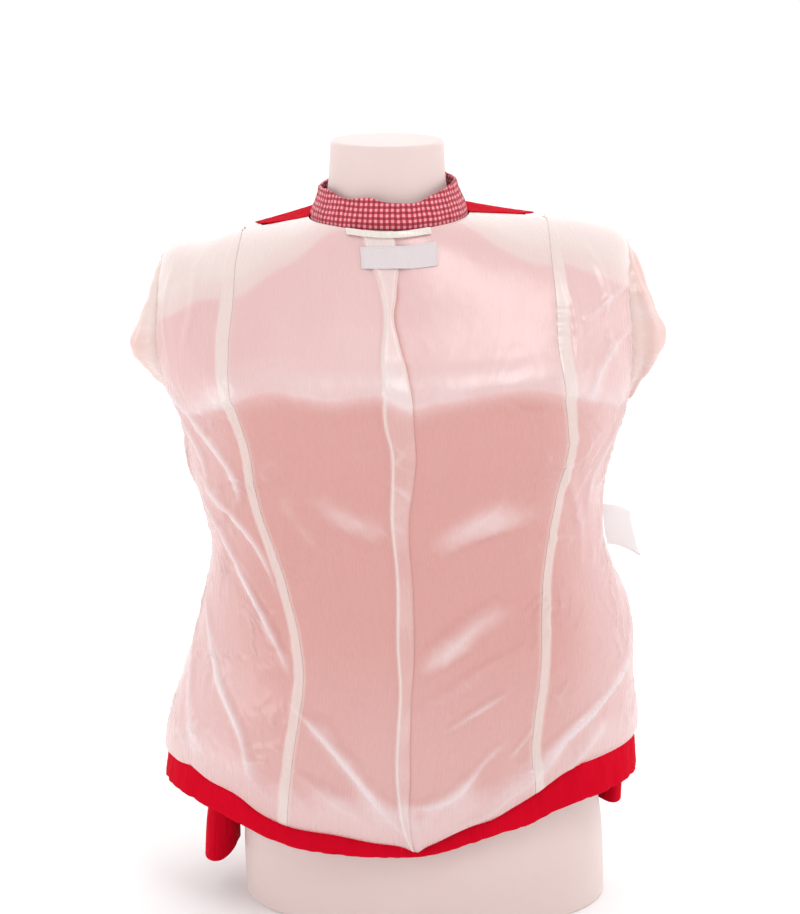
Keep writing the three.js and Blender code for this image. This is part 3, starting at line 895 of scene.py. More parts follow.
@dataclass(frozen=True)
class FormPlastic(Finish):
    """Smooth moulded shell of the dress form, skin-cream and slightly mottled."""

    color: Color = (0.72, 0.585, 0.56)
    mottle: Color = (0.675, 0.525, 0.50)
    parting: Color = (0.60, 0.42, 0.38)

    def make(self, graph: Graph) -> Material:
        """Mottle the plastic and give it a fine moulded grain."""
        spot = graph.place()
        cloud = graph.noise(spot, 11.0, 4.0, 0.6)
        grain = graph.noise(spot, 900.0, 2.0, 0.6)
        scuff = graph.noise(graph.stretched(spot, (1.0, 1.0, 0.12)), 130.0, 3.0, 0.6)
        color = graph.blend(cloud, self.color, self.mottle)
        color = graph.blend(graph.tint("parting"), color, self.parting, 0.5)
        normal = graph.relief(cloud, 0.002, 0.12)
        normal = graph.relief(grain, 0.00006, 0.4, normal)
        shine = graph.math("MULTIPLY_ADD", scuff, 0.16, 0.40)
        return graph.finish(color, shine, normal, Specular_IOR_Level=0.4, Sheen_Weight=0.25,
                            Sheen_Roughness=0.5, Subsurface_Weight=0.08,
                            Subsurface_Radius=(0.012, 0.006, 0.004))


@dataclass(frozen=True)
class Horn(Finish):
    """Polished streaky horn."""

    light: Color = (0.46, 0.27, 0.13)
    dark: Color = (0.10, 0.045, 0.02)

    def make(self, graph: Graph) -> Material:
        """Streak the horn."""
        spot = graph.place()
        streak = graph.noise(graph.stretched(spot, (1.0, 1.0, 0.25), 25.0), 260.0, 4.0, 0.6)
        fleck = graph.noise(spot, 1500.0, 2.0)
        color = graph.blend(streak, self.dark, self.light)
        shine = graph.math("MULTIPLY_ADD", fleck, 0.2, 0.22)
        return graph.finish(color, shine, graph.relief(fleck, 0.00005, 0.3), Coat_Weight=0.4,
                            Coat_Roughness=0.12)


@dataclass(frozen=True)
class Thread(Finish):
    """Twisted sewing thread."""

    color: Color = (0.82, 0.72, 0.66)

    def make(self, graph: Graph) -> Material:
        """Twist the thread."""
        spot = graph.place()
        twist = graph.threads(graph.stretched(spot, (1.0, 1.0, 0.6)), 0.0004, "DIAGONAL", 0.3)
        shade = tuple(0.7 * c for c in self.color)
        color = graph.blend(twist, self.color, shade, 0.5)
        return graph.finish(color, 0.55, graph.relief(twist, 0.0001, 0.6), Sheen_Weight=0.2)


@dataclass(frozen=True)
class Floor(Finish):
    """Plain pale studio paper."""

    color: Color = (0.96, 0.96, 0.96)

    def make(self, graph: Graph) -> Material:
        """Give the paper a barely visible tooth."""
        tooth = graph.noise(graph.place(), 700.0, 2.0)
        normal = graph.relief(tooth, 0.0001, 0.2)
        return graph.finish(self.color, 0.9, normal, Specular_IOR_Level=0.1)


SATIN = Satin("ivory_satin", "satin")
SLEEVE_SATIN = Satin("ivory_satin_double", "satin", over_red=(0.77, 0.62, 0.58),
                     close_red_and_shade=(0.70, 0.44, 0.40))
LOOP_SATIN = Satin("loop_satin", "satin", over_red=(0.76, 0.65, 0.56),
                   close_red_and_shade=(0.70, 0.56, 0.48))
RED = RedCloth("red_wool", "red_cloth")
CHECK = CheckCloth("small_check", "check_cloth")
RIBBON = LabelCloth("label_ribbon", "label_cloth")
CARE_TAPE = LabelCloth("care_tape", "label_cloth", color=(0.94, 0.93, 0.93),
                       ground=(0.86, 0.84, 0.85))
PLASTIC = FormPlastic("form_shell", "form_plastic")
HORN = Horn("horn", "horn")
CREAM_THREAD = Thread("cream_thread", "satin")
LABEL_THREAD = Thread("label_thread", "label_cloth", color=(0.66, 0.60, 0.63))
RED_THREAD = Thread("red_thread", "red_cloth", color=(0.55, 0.02, 0.03))


# ---- relief of the lining
@dataclass(frozen=True)
class Fold:
    """A fold of the lining, drawn as points of (distance round the body, height).

    The crest is the share of its height that stands in a sharp top.
    """

    path: Knots
    width: float
    height: float
    crest: float = 0.4
    crest_width: float = 2.9
    samples: int = 20

    def raise_at(self, s: Array, z: Array) -> Array:
        """How far the fold lifts the cloth.

        Args:
            s: Distances round the body.
            z: Heights.

        Returns:
            The lift in millimetres, below 0 in a trough.
        """
        near, best, taper = self._beside(s, z)
        result = np.zeros(np.shape(s))
        base = smooth(1 - best / (self.width / 2)) * (1 - self.crest)
        narrow = bump(best, self.crest_width) * self.crest
        result[near] = self.height * taper * (base + narrow)
        return result

    def crest_at(self, s: Array, z: Array) -> Array:
        """How sharply creased the fold's top is, 0 to 1, at distances and heights."""
        result = np.zeros(np.shape(s))
        if self.height > 0 and self.crest > 0.3:
            near, best, taper = self._beside(s, z)
            result[near] = taper * bump(best, self.crest_width) * min(1.0, self.height / 4)
        return result

    def _beside(self, s: Array, z: Array) -> tuple[Array, Array, Array]:
        """Measure from the fold's path.

        Args:
            s: Distances round the body.
            z: Heights.

        Returns:
            Which points are near it, and for those the distance and how far the fold has
            risen there.
        """
        points = spline(self.path, np.linspace(0, len(self.path) - 1, self.samples))
        low, high = points.min(axis=0) - self.width, points.max(axis=0) + self.width
        near = (s > low[0]) & (s < high[0]) & (z > low[1]) & (z < high[1])
        ps, pz = s[near], z[near]
        best, along = np.full(ps.shape, 1e9), np.zeros(ps.shape)
        for i, (a, b) in enumerate(zip(points[:-1], points[1:])):
            d = b - a
            ahead = (ps - a[0]) * d[0] + (pz - a[1]) * d[1]
            k = np.clip(ahead / max(float(d @ d), 1e-6), 0, 1)
            away = np.hypot(ps - a[0] - k * d[0], pz - a[1] - k * d[1])
            closer = away < best
            best = np.where(closer, away, best)
            along = np.where(closer, (i + k) / (len(points) - 1), along)
        return near, best, np.sin(math.pi * mix(0.04, 0.96, along)) ** 0.7


@dataclass(frozen=True)
class LiningDrape:
    """How the lining hangs: folds, the fold under the bust, its spare length and its lower edge.

    Drag lines hold their spacing, lift, steepness and pattern number.
    """

    folds: tuple[Fold, ...] = (
        Fold(((-240, 532), (-208, 520), (-190, 498), (-168, 475), (-151, 452),
              (-147, 430)), 20, 5.2, 0.5),
        Fold(((-252, 520), (-222, 500), (-204, 482), (-190, 462), (-186, 440)), 15, 3.4, 0.5),
        Fold(((-205, 508), (-199, 490), (-178, 468), (-163, 440), (-160, 418)), 14, -2.6, 0.2),
        Fold(((-196, 448), (-176, 428), (-158, 414), (-143, 396), (-132, 372),
              (-125, 340)), 20, 4.2, 0.5),
        Fold(((-205, 425), (-186, 398), (-166, 360), (-148, 326), (-131, 292),
              (-118, 262)), 24, 5.0, 0.5),
        Fold(((-236, 320), (-212, 286), (-188, 240), (-160, 200), (-146, 160)), 24, 5.0, 0.5),
        Fold(((-262, 285), (-240, 245), (-222, 205), (-204, 170)), 22, 3.2),
        Fold(((-110, 448), (-98, 428), (-84, 404), (-66, 380)), 26, 1.8, 0.25, 3.4),
        Fold(((-74, 442), (-52, 427), (-34, 415), (-10, 402)), 46, 3.8, 0.0),
        Fold(((-74, 408), (-54, 392), (-34, 380)), 26, -1.6, 0.0),
        Fold(((-112, 232), (-84, 208), (-58, 182), (-36, 156), (-16, 132),
              (4, 112)), 30, 6.0, 0.45, 2.6),
        Fold(((-96, 250), (-66, 226), (-44, 196)), 30, -1.8, 0.0),
        Fold(((-104, 172), (-72, 148), (-48, 132)), 24, 2.2, 0.3),
        Fold(((238, 268), (206, 240), (176, 216), (150, 196), (132, 176)), 26, 6.0, 0.45, 3.8),
        Fold(((146, 188), (120, 160), (98, 146), (74, 126), (46, 112)), 24, 5.4, 0.45, 3.4),
        Fold(((200, 206), (176, 184), (158, 164)), 20, 2.6, 0.35),
        Fold(((260, 330), (246, 300), (222, 262)), 20, 3.0, 0.35),
        Fold(((4, 138), (26, 139), (46, 147), (60, 161), (76, 184), (92, 200)), 22, 3.4, 0.45, 3.2),
        Fold(((-2, 268), (33, 292), (62, 316), (98, 334)), 44, 3.6, 0.1, 4.0),
        Fold(((20, 262), (56, 282), (90, 300)), 24, -1.8, 0.0),
        Fold(((34, 212), (58, 229), (86, 247)), 16, 3.0, 0.45),
        Fold(((97, 182), (110, 199), (119, 216)), 12, 2.6, 0.45),
        Fold(((10, 240), (44, 256), (82, 288)), 34, 2.0, 0.1, 4.0),
        Fold(((26, 392), (65, 410), (96, 420), (134, 428)), 52, 4.2, 0.0),
        Fold(((40, 376), (76, 392), (112, 402)), 26, -1.8, 0.0),
        Fold(((-14, 505), (0, 488), (-5, 478), (8, 470)), 9, 1.5, 0.3, 2.2),
        Fold(((-12, 458), (2, 452), (12, 440)), 9, 1.3, 0.3, 2.2),
        Fold(((244, 610), (216, 600), (200, 589), (182, 574)), 20, -3.6, 0.3),
        Fold(((252, 622), (222, 618), (196, 606), (176, 596)), 14, 2.6, 0.5, 2.2),
        Fold(((255, 588), (216, 575), (190, 554), (176, 530)), 18, 3.4, 0.45, 2.4),
        Fold(((150, 470), (168, 440), (176, 400), (172, 360)), 22, 2.4, 0.3),
        Fold(((236, 520), (212, 486), (196, 450), (190, 414)), 20, 3.0, 0.4),
        Fold(((262, 500), (238, 462), (226, 430)), 16, 2.2, 0.4),
        Fold(((252, 452), (226, 404), (204, 366)), 20, 2.6, 0.35),
        Fold(((160, 640), (166, 612), (170, 586), (166, 556)), 14, 1.6, 0.3),
        Fold(((196, 652), (206, 620), (204, 588), (214, 560)), 18, 2.2, 0.35),
        Fold(((-198, 640), (-190, 606), (-196, 570)), 18, 1.8, 0.3),
        Fold(((-226, 632), (-228, 596), (-218, 556)), 16, 2.0, 0.35),
        Fold(((-318, 470), (-340, 420), (-352, 360), (-350, 300)), 26, 3.4, 0.3),
        Fold(((-352, 300), (-384, 250), (-402, 200), (-408, 160)), 28, 3.6, 0.3),
        Fold(((-300, 400), (-322, 340), (-330, 290)), 22, 2.4, 0.3),
        Fold(((322, 480), (344, 430), (350, 372), (344, 318)), 26, 3.2, 0.3),
        Fold(((342, 320), (372, 262), (396, 210), (404, 168)), 28, 3.8, 0.3),
        Fold(((298, 380), (312, 330), (322, 276)), 22, 2.6, 0.35),
    )
    bust_line: Knots = (
        (-190, 520), (-150, 533), (-110, 544), (-58, 538), (-9, 541), (15, 531), (31, 535),
        (66, 541), (120, 546), (160, 538), (210, 522),
    )
    bust_shelf: float = 3.4
    edge: Knots = (
        (-620, 11.7), (-430, 11.70), (-340, 11.6), (-289, 11.55), (-265, 11.47), (-240, 11.42),
        (-219, 11.37), (-193, 11.41), (-159, 11.45), (-136, 11.56), (-109, 11.64), (-59, 11.68),
        (-24, 11.75), (5, 11.81), (16, 11.87), (22, 11.81), (36, 11.73), (64, 11.58), (91, 11.52),
        (112, 11.43), (136, 11.34), (173, 11.2), (206, 11.22), (252, 11.30), (300, 11.42),
        (360, 11.6), (430, 11.7), (620, 11.7),
    )
    drag_lines: tuple[tuple[float, float, float, int], ...] = (
        (31.0, 2.2, 1.5, 61), (19.0, 1.1, 1.9, 64), (13.0, 0.6, 1.1, 67),
    )
    shelf_above: float = 44.0
    shelf_below: float = 9.0
    bag_side: float = 3.0
    bag_front: float = 6.5
    bag_length: float = 52.0
    bag_full: float = 14.0
    lip: float = 9.0
    tuck: float = 0.9
    deepest: float = 0.25
    pleat_bag: float = 2.5
    crumple: float = 0.45
    fine_crumple: float = 0.14
    sway: float = 0.30
    chest_calm: float = 0.3

    def crests(self, s: Array, z: Array) -> Array:
        """Where the sharp tops of folds run, 0 to 1."""
        return np.clip(sum(fold.crest_at(s, z) for fold in self.folds), 0, 1)

    def lower_edge(self, s: Array) -> Array:
        """The level where the lining ends."""
        return through(self.edge, s)

    def above_edge(self, s: Array, t: Array) -> Array:
        """Distance of each point above the lining's lower edge."""
        return (self.lower_edge(s) - t) * LEVEL_HEIGHT

    def below_bust(self, s: Array, z: Array) -> Array:
        """Height of the fold under the bust above each point: above 0 under it."""
        return through(self.bust_line, s) - z

    def drag(self, s: Array, z: Array) -> Array:
        """Small slanting drag lines that come and go over the sides.

        Args:
            s: Distances round the body.
            z: Heights.

        Returns:
            The lift in millimetres.
        """
        total = np.zeros(np.broadcast(s, z).shape)
        for pitch, lift, steep, seed in self.drag_lines:
            across = (np.abs(s) * -steep + z) / math.hypot(steep, 1)
            phase = across / pitch + 0.9 * ripple(s, z, seed, 70)
            crest = (1 - np.abs(np.sin(math.pi * phase))) ** 2
            total += lift * crest * smooth(ripple(s, z, seed + 1, 60) * 0.8 + 0.25)
        side = ramp(np.abs(s), 70, 165)
        return total * mix(0.25, 1.0, side) * ramp(z, 640, 520)

    def height(self, angle: Array, t: Array, s: Array, z: Array) -> Array:
        """How far the lining stands out beyond its layer.

        Args:
            angle: Angles round the body.
            t: Levels.
            s: Distances round the body.
            z: Heights.

        Returns:
            The lift in millimetres.
        """
        total = sum(fold.raise_at(s, z) for fold in self.folds)
        facing = np.abs(sine(angle))
        under = self.below_bust(s, z)
        shelf = smooth(1 - np.where(under < 0, -under / self.shelf_above, under / self.shelf_below))
        total += self.bust_shelf * ramp(sine(angle), 0.15, 0.5) * shelf
        to_edge = self.above_edge(s, t)
        bag = mix(self.bag_side, self.bag_front, facing**3) + self.pleat_bag * bump(s - 18, 16)
        total += bag * smooth((self.bag_length - to_edge) / (self.bag_length - self.bag_full))
        calm = smooth(to_edge / 30) * smooth(t / 1.2)
        calm *= mix(1.0, self.chest_calm, ramp(z, 528, 560))
        crumple = self.crumple * ripple(s, z, 11, 52, lean=0.3)
        crumple += self.fine_crumple * ripple(s, z, 12, 19)
        crumple += self.sway * facing**2 * ripple(s, z * 1.6, 13, 90)
        total += calm * (crumple + self.drag(s, z))
        total = np.where(total < 0, self.deepest * np.tanh(total / self.deepest), total)
        lip = np.clip(1 - to_edge / self.lip, 0, 1)
        return total * np.sqrt(1 - lip**2) - self.tuck * lip**2


DRAPE = LiningDrape()


# ---- pieces cut from the body surface
@dataclass
class Lay:
    """Where the points of a panel's grid lie: rows down the body, columns across it."""

    angle: Array
    t: Array
    from_start: Array
    from_end: Array
    s: Array = field(init=False)
    point: Array = field(init=False)
    normal: Array = field(init=False)

    def __post_init__(self) -> None:
        """Place the grid on the body surface."""
        self.s = around(self.angle, self.t)
        self.point = BODY.point(self.angle, self.t)
        self.normal = BODY.normal(self.angle, self.t)

    @property
    def z(self) -> Array:
        """Heights of the grid's points."""
        return self.point[..., 2]

    @property
    def uv(self) -> Array:
        """The grid laid flat: distance round the body and distance down."""
        return np.stack([self.s, lengths(self.point, 0)], axis=-1)

    def at(self, depth: Array) -> Array:
        """Points at a depth out from the body surface."""
        return self.point + self.normal * np.broadcast_to(depth, self.t.shape)[..., None]

    def cloth(self, layer: Layer, lift: Array, tints: dict[str, Array] | None = None) -> Cloth:
        """A sheet in a layer, lifted out of it by the given amounts."""
        return Cloth(self.at(layer.inner + lift), self.at(layer.outer + lift), self.uv, tints or {})


@dataclass(frozen=True)
class Panel:
    """A piece cut from the body surface, between two boundaries and two levels."""

    start: Curve
    end: Curve
    first: float
    last: float = 12.0
    down: float = 3.0
    across: float = 3.0
    trim: float = 0.03
    hem: Curve | None = None
    shorten_from: float = 11.0
    read_hem_from: float = 11.3

    def _tabled(self, curve: Curve) -> Curve:
        """A boundary read from a fine table, which is quicker than solving it anew."""
        levels = np.linspace(0, Level.HEM.value, 721)
        angles = curve(levels)
        if self.first >= Level.PRINCESS.value:
            first = np.searchsorted(levels, self.first)
            angles[:first] = angles[first]
        return lambda t: np.interp(t, levels, angles)

    def _levels(self, start: Curve, end: Curve) -> Array:
        """Levels of rows that lie evenly down the panel's middle."""
        fine = np.linspace(self.first, self.last, 300)
        path = BODY.point((start(fine) + end(fine)) / 2, fine)
        run = run_of(path)
        count = max(2, round(run[-1] / self.down))
        return np.interp(np.linspace(0, run[-1], count + 1), run, fine)

    def lay(self) -> Lay:
        """Lay the panel's grid on the body.

        Returns:
            The grid.
        """
        start, end = self._tabled(self.start), self._tabled(self.end)
        level = self._levels(start, end)[:, None]
        a, b = start(level), end(level)
        width = np.linalg.norm(BODY.point(a, level) - BODY.point(b, level), axis=-1)
        widest = np.abs(around(a, level) - around(b, level)).max()
        columns = max(2, round(float(widest) / self.across))
        trim = np.clip(self.trim / np.maximum(width, 1), 0, 0.2)
        k = mix(trim, 1 - trim, np.linspace(0, 1, columns + 1)[None, :])
        angle = mix(a, b, k)
        t = np.broadcast_to(level, angle.shape)
        if self.hem is not None:
            ends = self.hem(around(angle, np.maximum(t, self.read_hem_from)))
            span = self.last - self.shorten_from
            t = t - np.maximum(0, t - self.shorten_from) * (self.last - ends) / span
            angle = mix(start(t), end(t), k)
        run = np.abs(around(angle, t) - around(start(t), t))
        total = np.abs(around(end(t), t) - around(start(t), t))
        return Lay(angle, t, run, total - run)


@dataclass(frozen=True)
class ClothHem:
    """The folded lower edge of the red cloth, which rides up over the right hip."""

    edge: Knots = (
        (-620, 12.0), (-420, 12.0), (-340, 11.92), (-289, 11.84), (-240, 11.73), (-205, 11.70),
        (-150, 11.77), (-119, 11.88), (-95, 11.93), (-58, 11.96), (-20, 11.98), (18, 11.96),
        (58, 11.82), (92, 11.71), (120, 11.67), (166, 11.58), (219, 11.64), (269, 11.76),
        (340, 11.9), (430, 12.0), (620, 12.0),
    )
    turning: float = 58.0
    bend: float = 0.75
    bend_steps: int = 6
    turning_rows: int = 12

    def level(self, s: Array) -> Array:
        """The level of the fold at distances round the body."""
        return through(self.edge, s)


CLOTH_HEM = ClothHem()


@dataclass(frozen=True)
class Cut:
    """A sheet's flat size as cut, and its area where it isn't a rectangle, in metres."""

    width: float
    length: float
    area: float | None = None


def seat(piece: Piece, nodes: Sequence[str]) -> None:
    """Ride on the object, and stand for the nodes that a piece replaces."""
    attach(piece, "root")
    if nodes:
        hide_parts(*nodes)


def fit(piece: Piece, nodes: Sequence[str], finish: Finish,
        rests_on: Sequence[str]) -> Piece:
    """Seat a sheet and dress it.

    Args:
        piece: The sheet.
        nodes: The nodes it stands for.
        finish: Its finish.
        rests_on: The pieces that carry it; not used.

    Returns:
        The sheet.
    """
    seat(piece, nodes)
    finish.dress(piece)
    return piece


# ---- sub-assemblies
@dataclass(frozen=True)
class RedShell:
    """The blazer's red cloth: eight panels, each folded up at the hem, and two facings."""

    down: float = 6.0
    across: float = 5.0
    crease: float = 1.5
    pinch: float = 0.5
    cuts: tuple[tuple[str, Cut, Cut], ...] = (
        ("back", Cut(0.155, 0.66, 0.087), Cut(0.165, 0.66, 0.095)),
        ("side_back", Cut(0.190, 0.62, 0.093), Cut(0.170, 0.62, 0.084)),
        ("side_front", Cut(0.190, 0.62, 0.094), Cut(0.190, 0.62, 0.094)),
        ("front", Cut(0.130, 0.66, 0.068), Cut(0.130, 0.66, 0.069)),
    )
    facing_cut: Cut = Cut(0.100, 0.60, 0.045)

    @staticmethod
    def boundaries(part: str, side: Side) -> tuple[Curve, Curve, float]:
        """A panel's two boundaries and the level where it starts."""
        first = Level.PRINCESS.value
        return {
            "back": (centre, SEAMS.princess_back(side), 0.0),
            "side_back": (SEAMS.princess_back(side), SEAMS.armhole_edge(side, True), first),
            "side_front": (SEAMS.armhole_edge(side, False), SEAMS.princess_front(side), first),
            "front": (SEAMS.princess_front(side), SEAMS.front_edge(side), 0.0),
        }[part]

    def dent(self, s: Array, z: Array, above: Array) -> Array:
        """How far creases press the hem in, at a distance above its fold."""
        crease = self.crease * smooth(ripple(s, z * 0.45, 71, 21, lean=0.3) * 0.9)
        pinch = self.pinch * smooth(ripple(s, z * 0.5, 72, 9))
        return -(crease + pinch) * (1 - ramp(above, 45, 95))

    def folded(self, lay: Lay) -> Cloth:
        """Run the cloth down to the hem, over its fold and up inside.

        Args:
            lay: The panel's grid, from the top to the fold.

        Returns:
            The folded sheet.
        """
        angle, hem, s, normal = lay.angle[-1], lay.t[-1], lay.s[-1], lay.normal[-1]
        point = lay.point[-1] + normal * self.dent(s, lay.z[-1], 0.0)[:, None]
        down = unit(point - BODY.point(angle, hem - 0.05))
        dent = self.dent(lay.s, lay.z, (hem - lay.t) * LEVEL_HEIGHT)
        middle, facing = [*lay.at(SHELL.middle + dent)], [*lay.normal]
        centre_depth = (SHELL.middle + HEM_TURN.middle) / 2
        for phi in np.linspace(0, math.pi, CLOTH_HEM.bend_steps)[1:-1]:
            depth = centre_depth - CLOTH_HEM.bend * math.cos(phi)
            middle.append(point + normal * depth + down * CLOTH_HEM.bend * math.sin(phi))
            facing.append(normal * math.cos(phi) - down * math.sin(phi))
        for rise in np.linspace(0, CLOTH_HEM.turning, CLOTH_HEM.turning_rows):
            t = hem - rise / LEVEL_HEIGHT
            out, here = BODY.normal(angle, t), BODY.point(angle, t)
            dent = self.dent(s, here[:, 2], rise)
            middle.append(here + out * (HEM_TURN.middle + dent)[:, None])
            facing.append(-out)
        middle, facing = np.array(middle), np.array(facing)
        half = SHELL.thickness / 2
        uv = np.stack([np.broadcast_to(s, middle.shape[:2]), lengths(middle, 0)], axis=-1)
        uv[: len(lay.s), :, 0] = lay.s
        return Cloth(middle - facing * half, middle + facing * half, uv)

    def facing(self, side: Side) -> Cloth:
        """The facing, curled over at the front edge to meet the cloth."""
        lay = Panel(SEAMS.facing_edge(side), SEAMS.front_edge(side), 0.0, down=5.0, across=4.0,
                    hem=CLOTH_HEM.level).lay()
        curl = -2.1 * bump(lay.from_end, 2.4) * (1 - ramp(lay.t, 10.9, 11.2))
        wave = 0.35 * ripple(lay.s, lay.z, 21, 60, lean=0.4) * smooth(lay.from_end / 12)
        return lay.cloth(FACING, curl + np.maximum(wave, -0.3))

    def build(self) -> list[Piece]:
        """Make, dress and seat the red pieces."""
        pieces = []
        for part, *pair in self.cuts:
            for side, cut in zip(Side, pair):
                start, end, first = self.boundaries(part, side)
                lay = Panel(start, end, first, down=self.down, across=self.across,
                            hem=CLOTH_HEM.level).lay()
                name = f"{part}_{side.label}"
                piece = self.folded(lay).build(f"cloth_{name}")
                nodes = [f"shell_{name}", f"hem_turn_{name}"]
                pieces.append(fit(piece, nodes, RED, ["dress_form"]))
        for side in Side:
            piece = self.facing(side).build(f"front_facing_{side.label}")
            pieces.append(fit(piece, [f"facing_{side.label}"], RED,
                              [f"cloth_front_{side.label}"]))
        return pieces


@dataclass(frozen=True)
class Pleat:
    """The lining's centre back pleat: offsets of its soft fold and of its folded edge by level."""

    edge: Knots = (
        (0, 4), (1.95, 4), (2.55, 2), (3.1, 1), (3.5, -1), (3.95, 0), (4.4, 4), (4.75, 7.5),
        (5.1, 11), (5.6, 13.5), (6.0, 15), (6.6, 13), (7.15, 12), (7.7, 12), (8.4, 8), (9.05, 4),
        (9.6, 0), (10.2, -3), (10.6, 1), (11.1, 6), (11.4, 6), (11.7, 10), (12, 15),
    )
    fold: Knots = (
        (0, -21), (1.05, -22), (2.0, -17), (3.1, -10), (4.7, -9), (5.85, -9), (6.5, -11),
        (6.75, -9), (7.15, -8), (7.7, -5), (8.55, -6), (9.1, -10), (9.65, -15), (10.2, -13),
        (10.75, -9), (11.3, -3), (11.5, 1), (11.65, 5), (11.8, 10), (12, 16),
    )
    lift: float = 2.0

    def offset(self, lay: Lay) -> Array:
        """Distance of each point to the right of the soft fold."""
        return lay.point[..., 0] - BODY.middle(lay.t) - through(self.fold, lay.t)

    def raised(self, lay: Lay) -> Array:
        """How far the pleat stands on the lining under it."""
        d = self.offset(lay)
        return self.lift * ramp(d, -2.6, 1.2) + 0.6 * bump(d, 1.5)


PLEAT = Pleat()


@dataclass(frozen=True)
class ShowThrough:
    """How strongly red or pale cloth shows through the satin, from 0 to 1, with painted shade low
    on the sides, under the bust and under the pleat's edge, and painted highlights on fold crests
    and along the pleat's fold.
    """

    side_red_and_shade: float = 0.45
    side_loss: float = 0.55
    low_loss: float = 0.4
    pleat_shadow: float = 0.9
    mark: float = 1.4
    chest: float = 0.42
    shoulder: float = 0.25
    turning: float = 0.6
    armhole: float = 0.45
    seam: float = 0.35
    pleat_low: float = 0.10
    pleat_high: float = 0.34
    pleat_fold_highlight: float = 0.85
    label_patch: float = 0.75
    lifted: float = 0.8
    # Painted highlight on the sharp tops of folds.
    crest: float = 0.3
    side_loose: float = 0.22


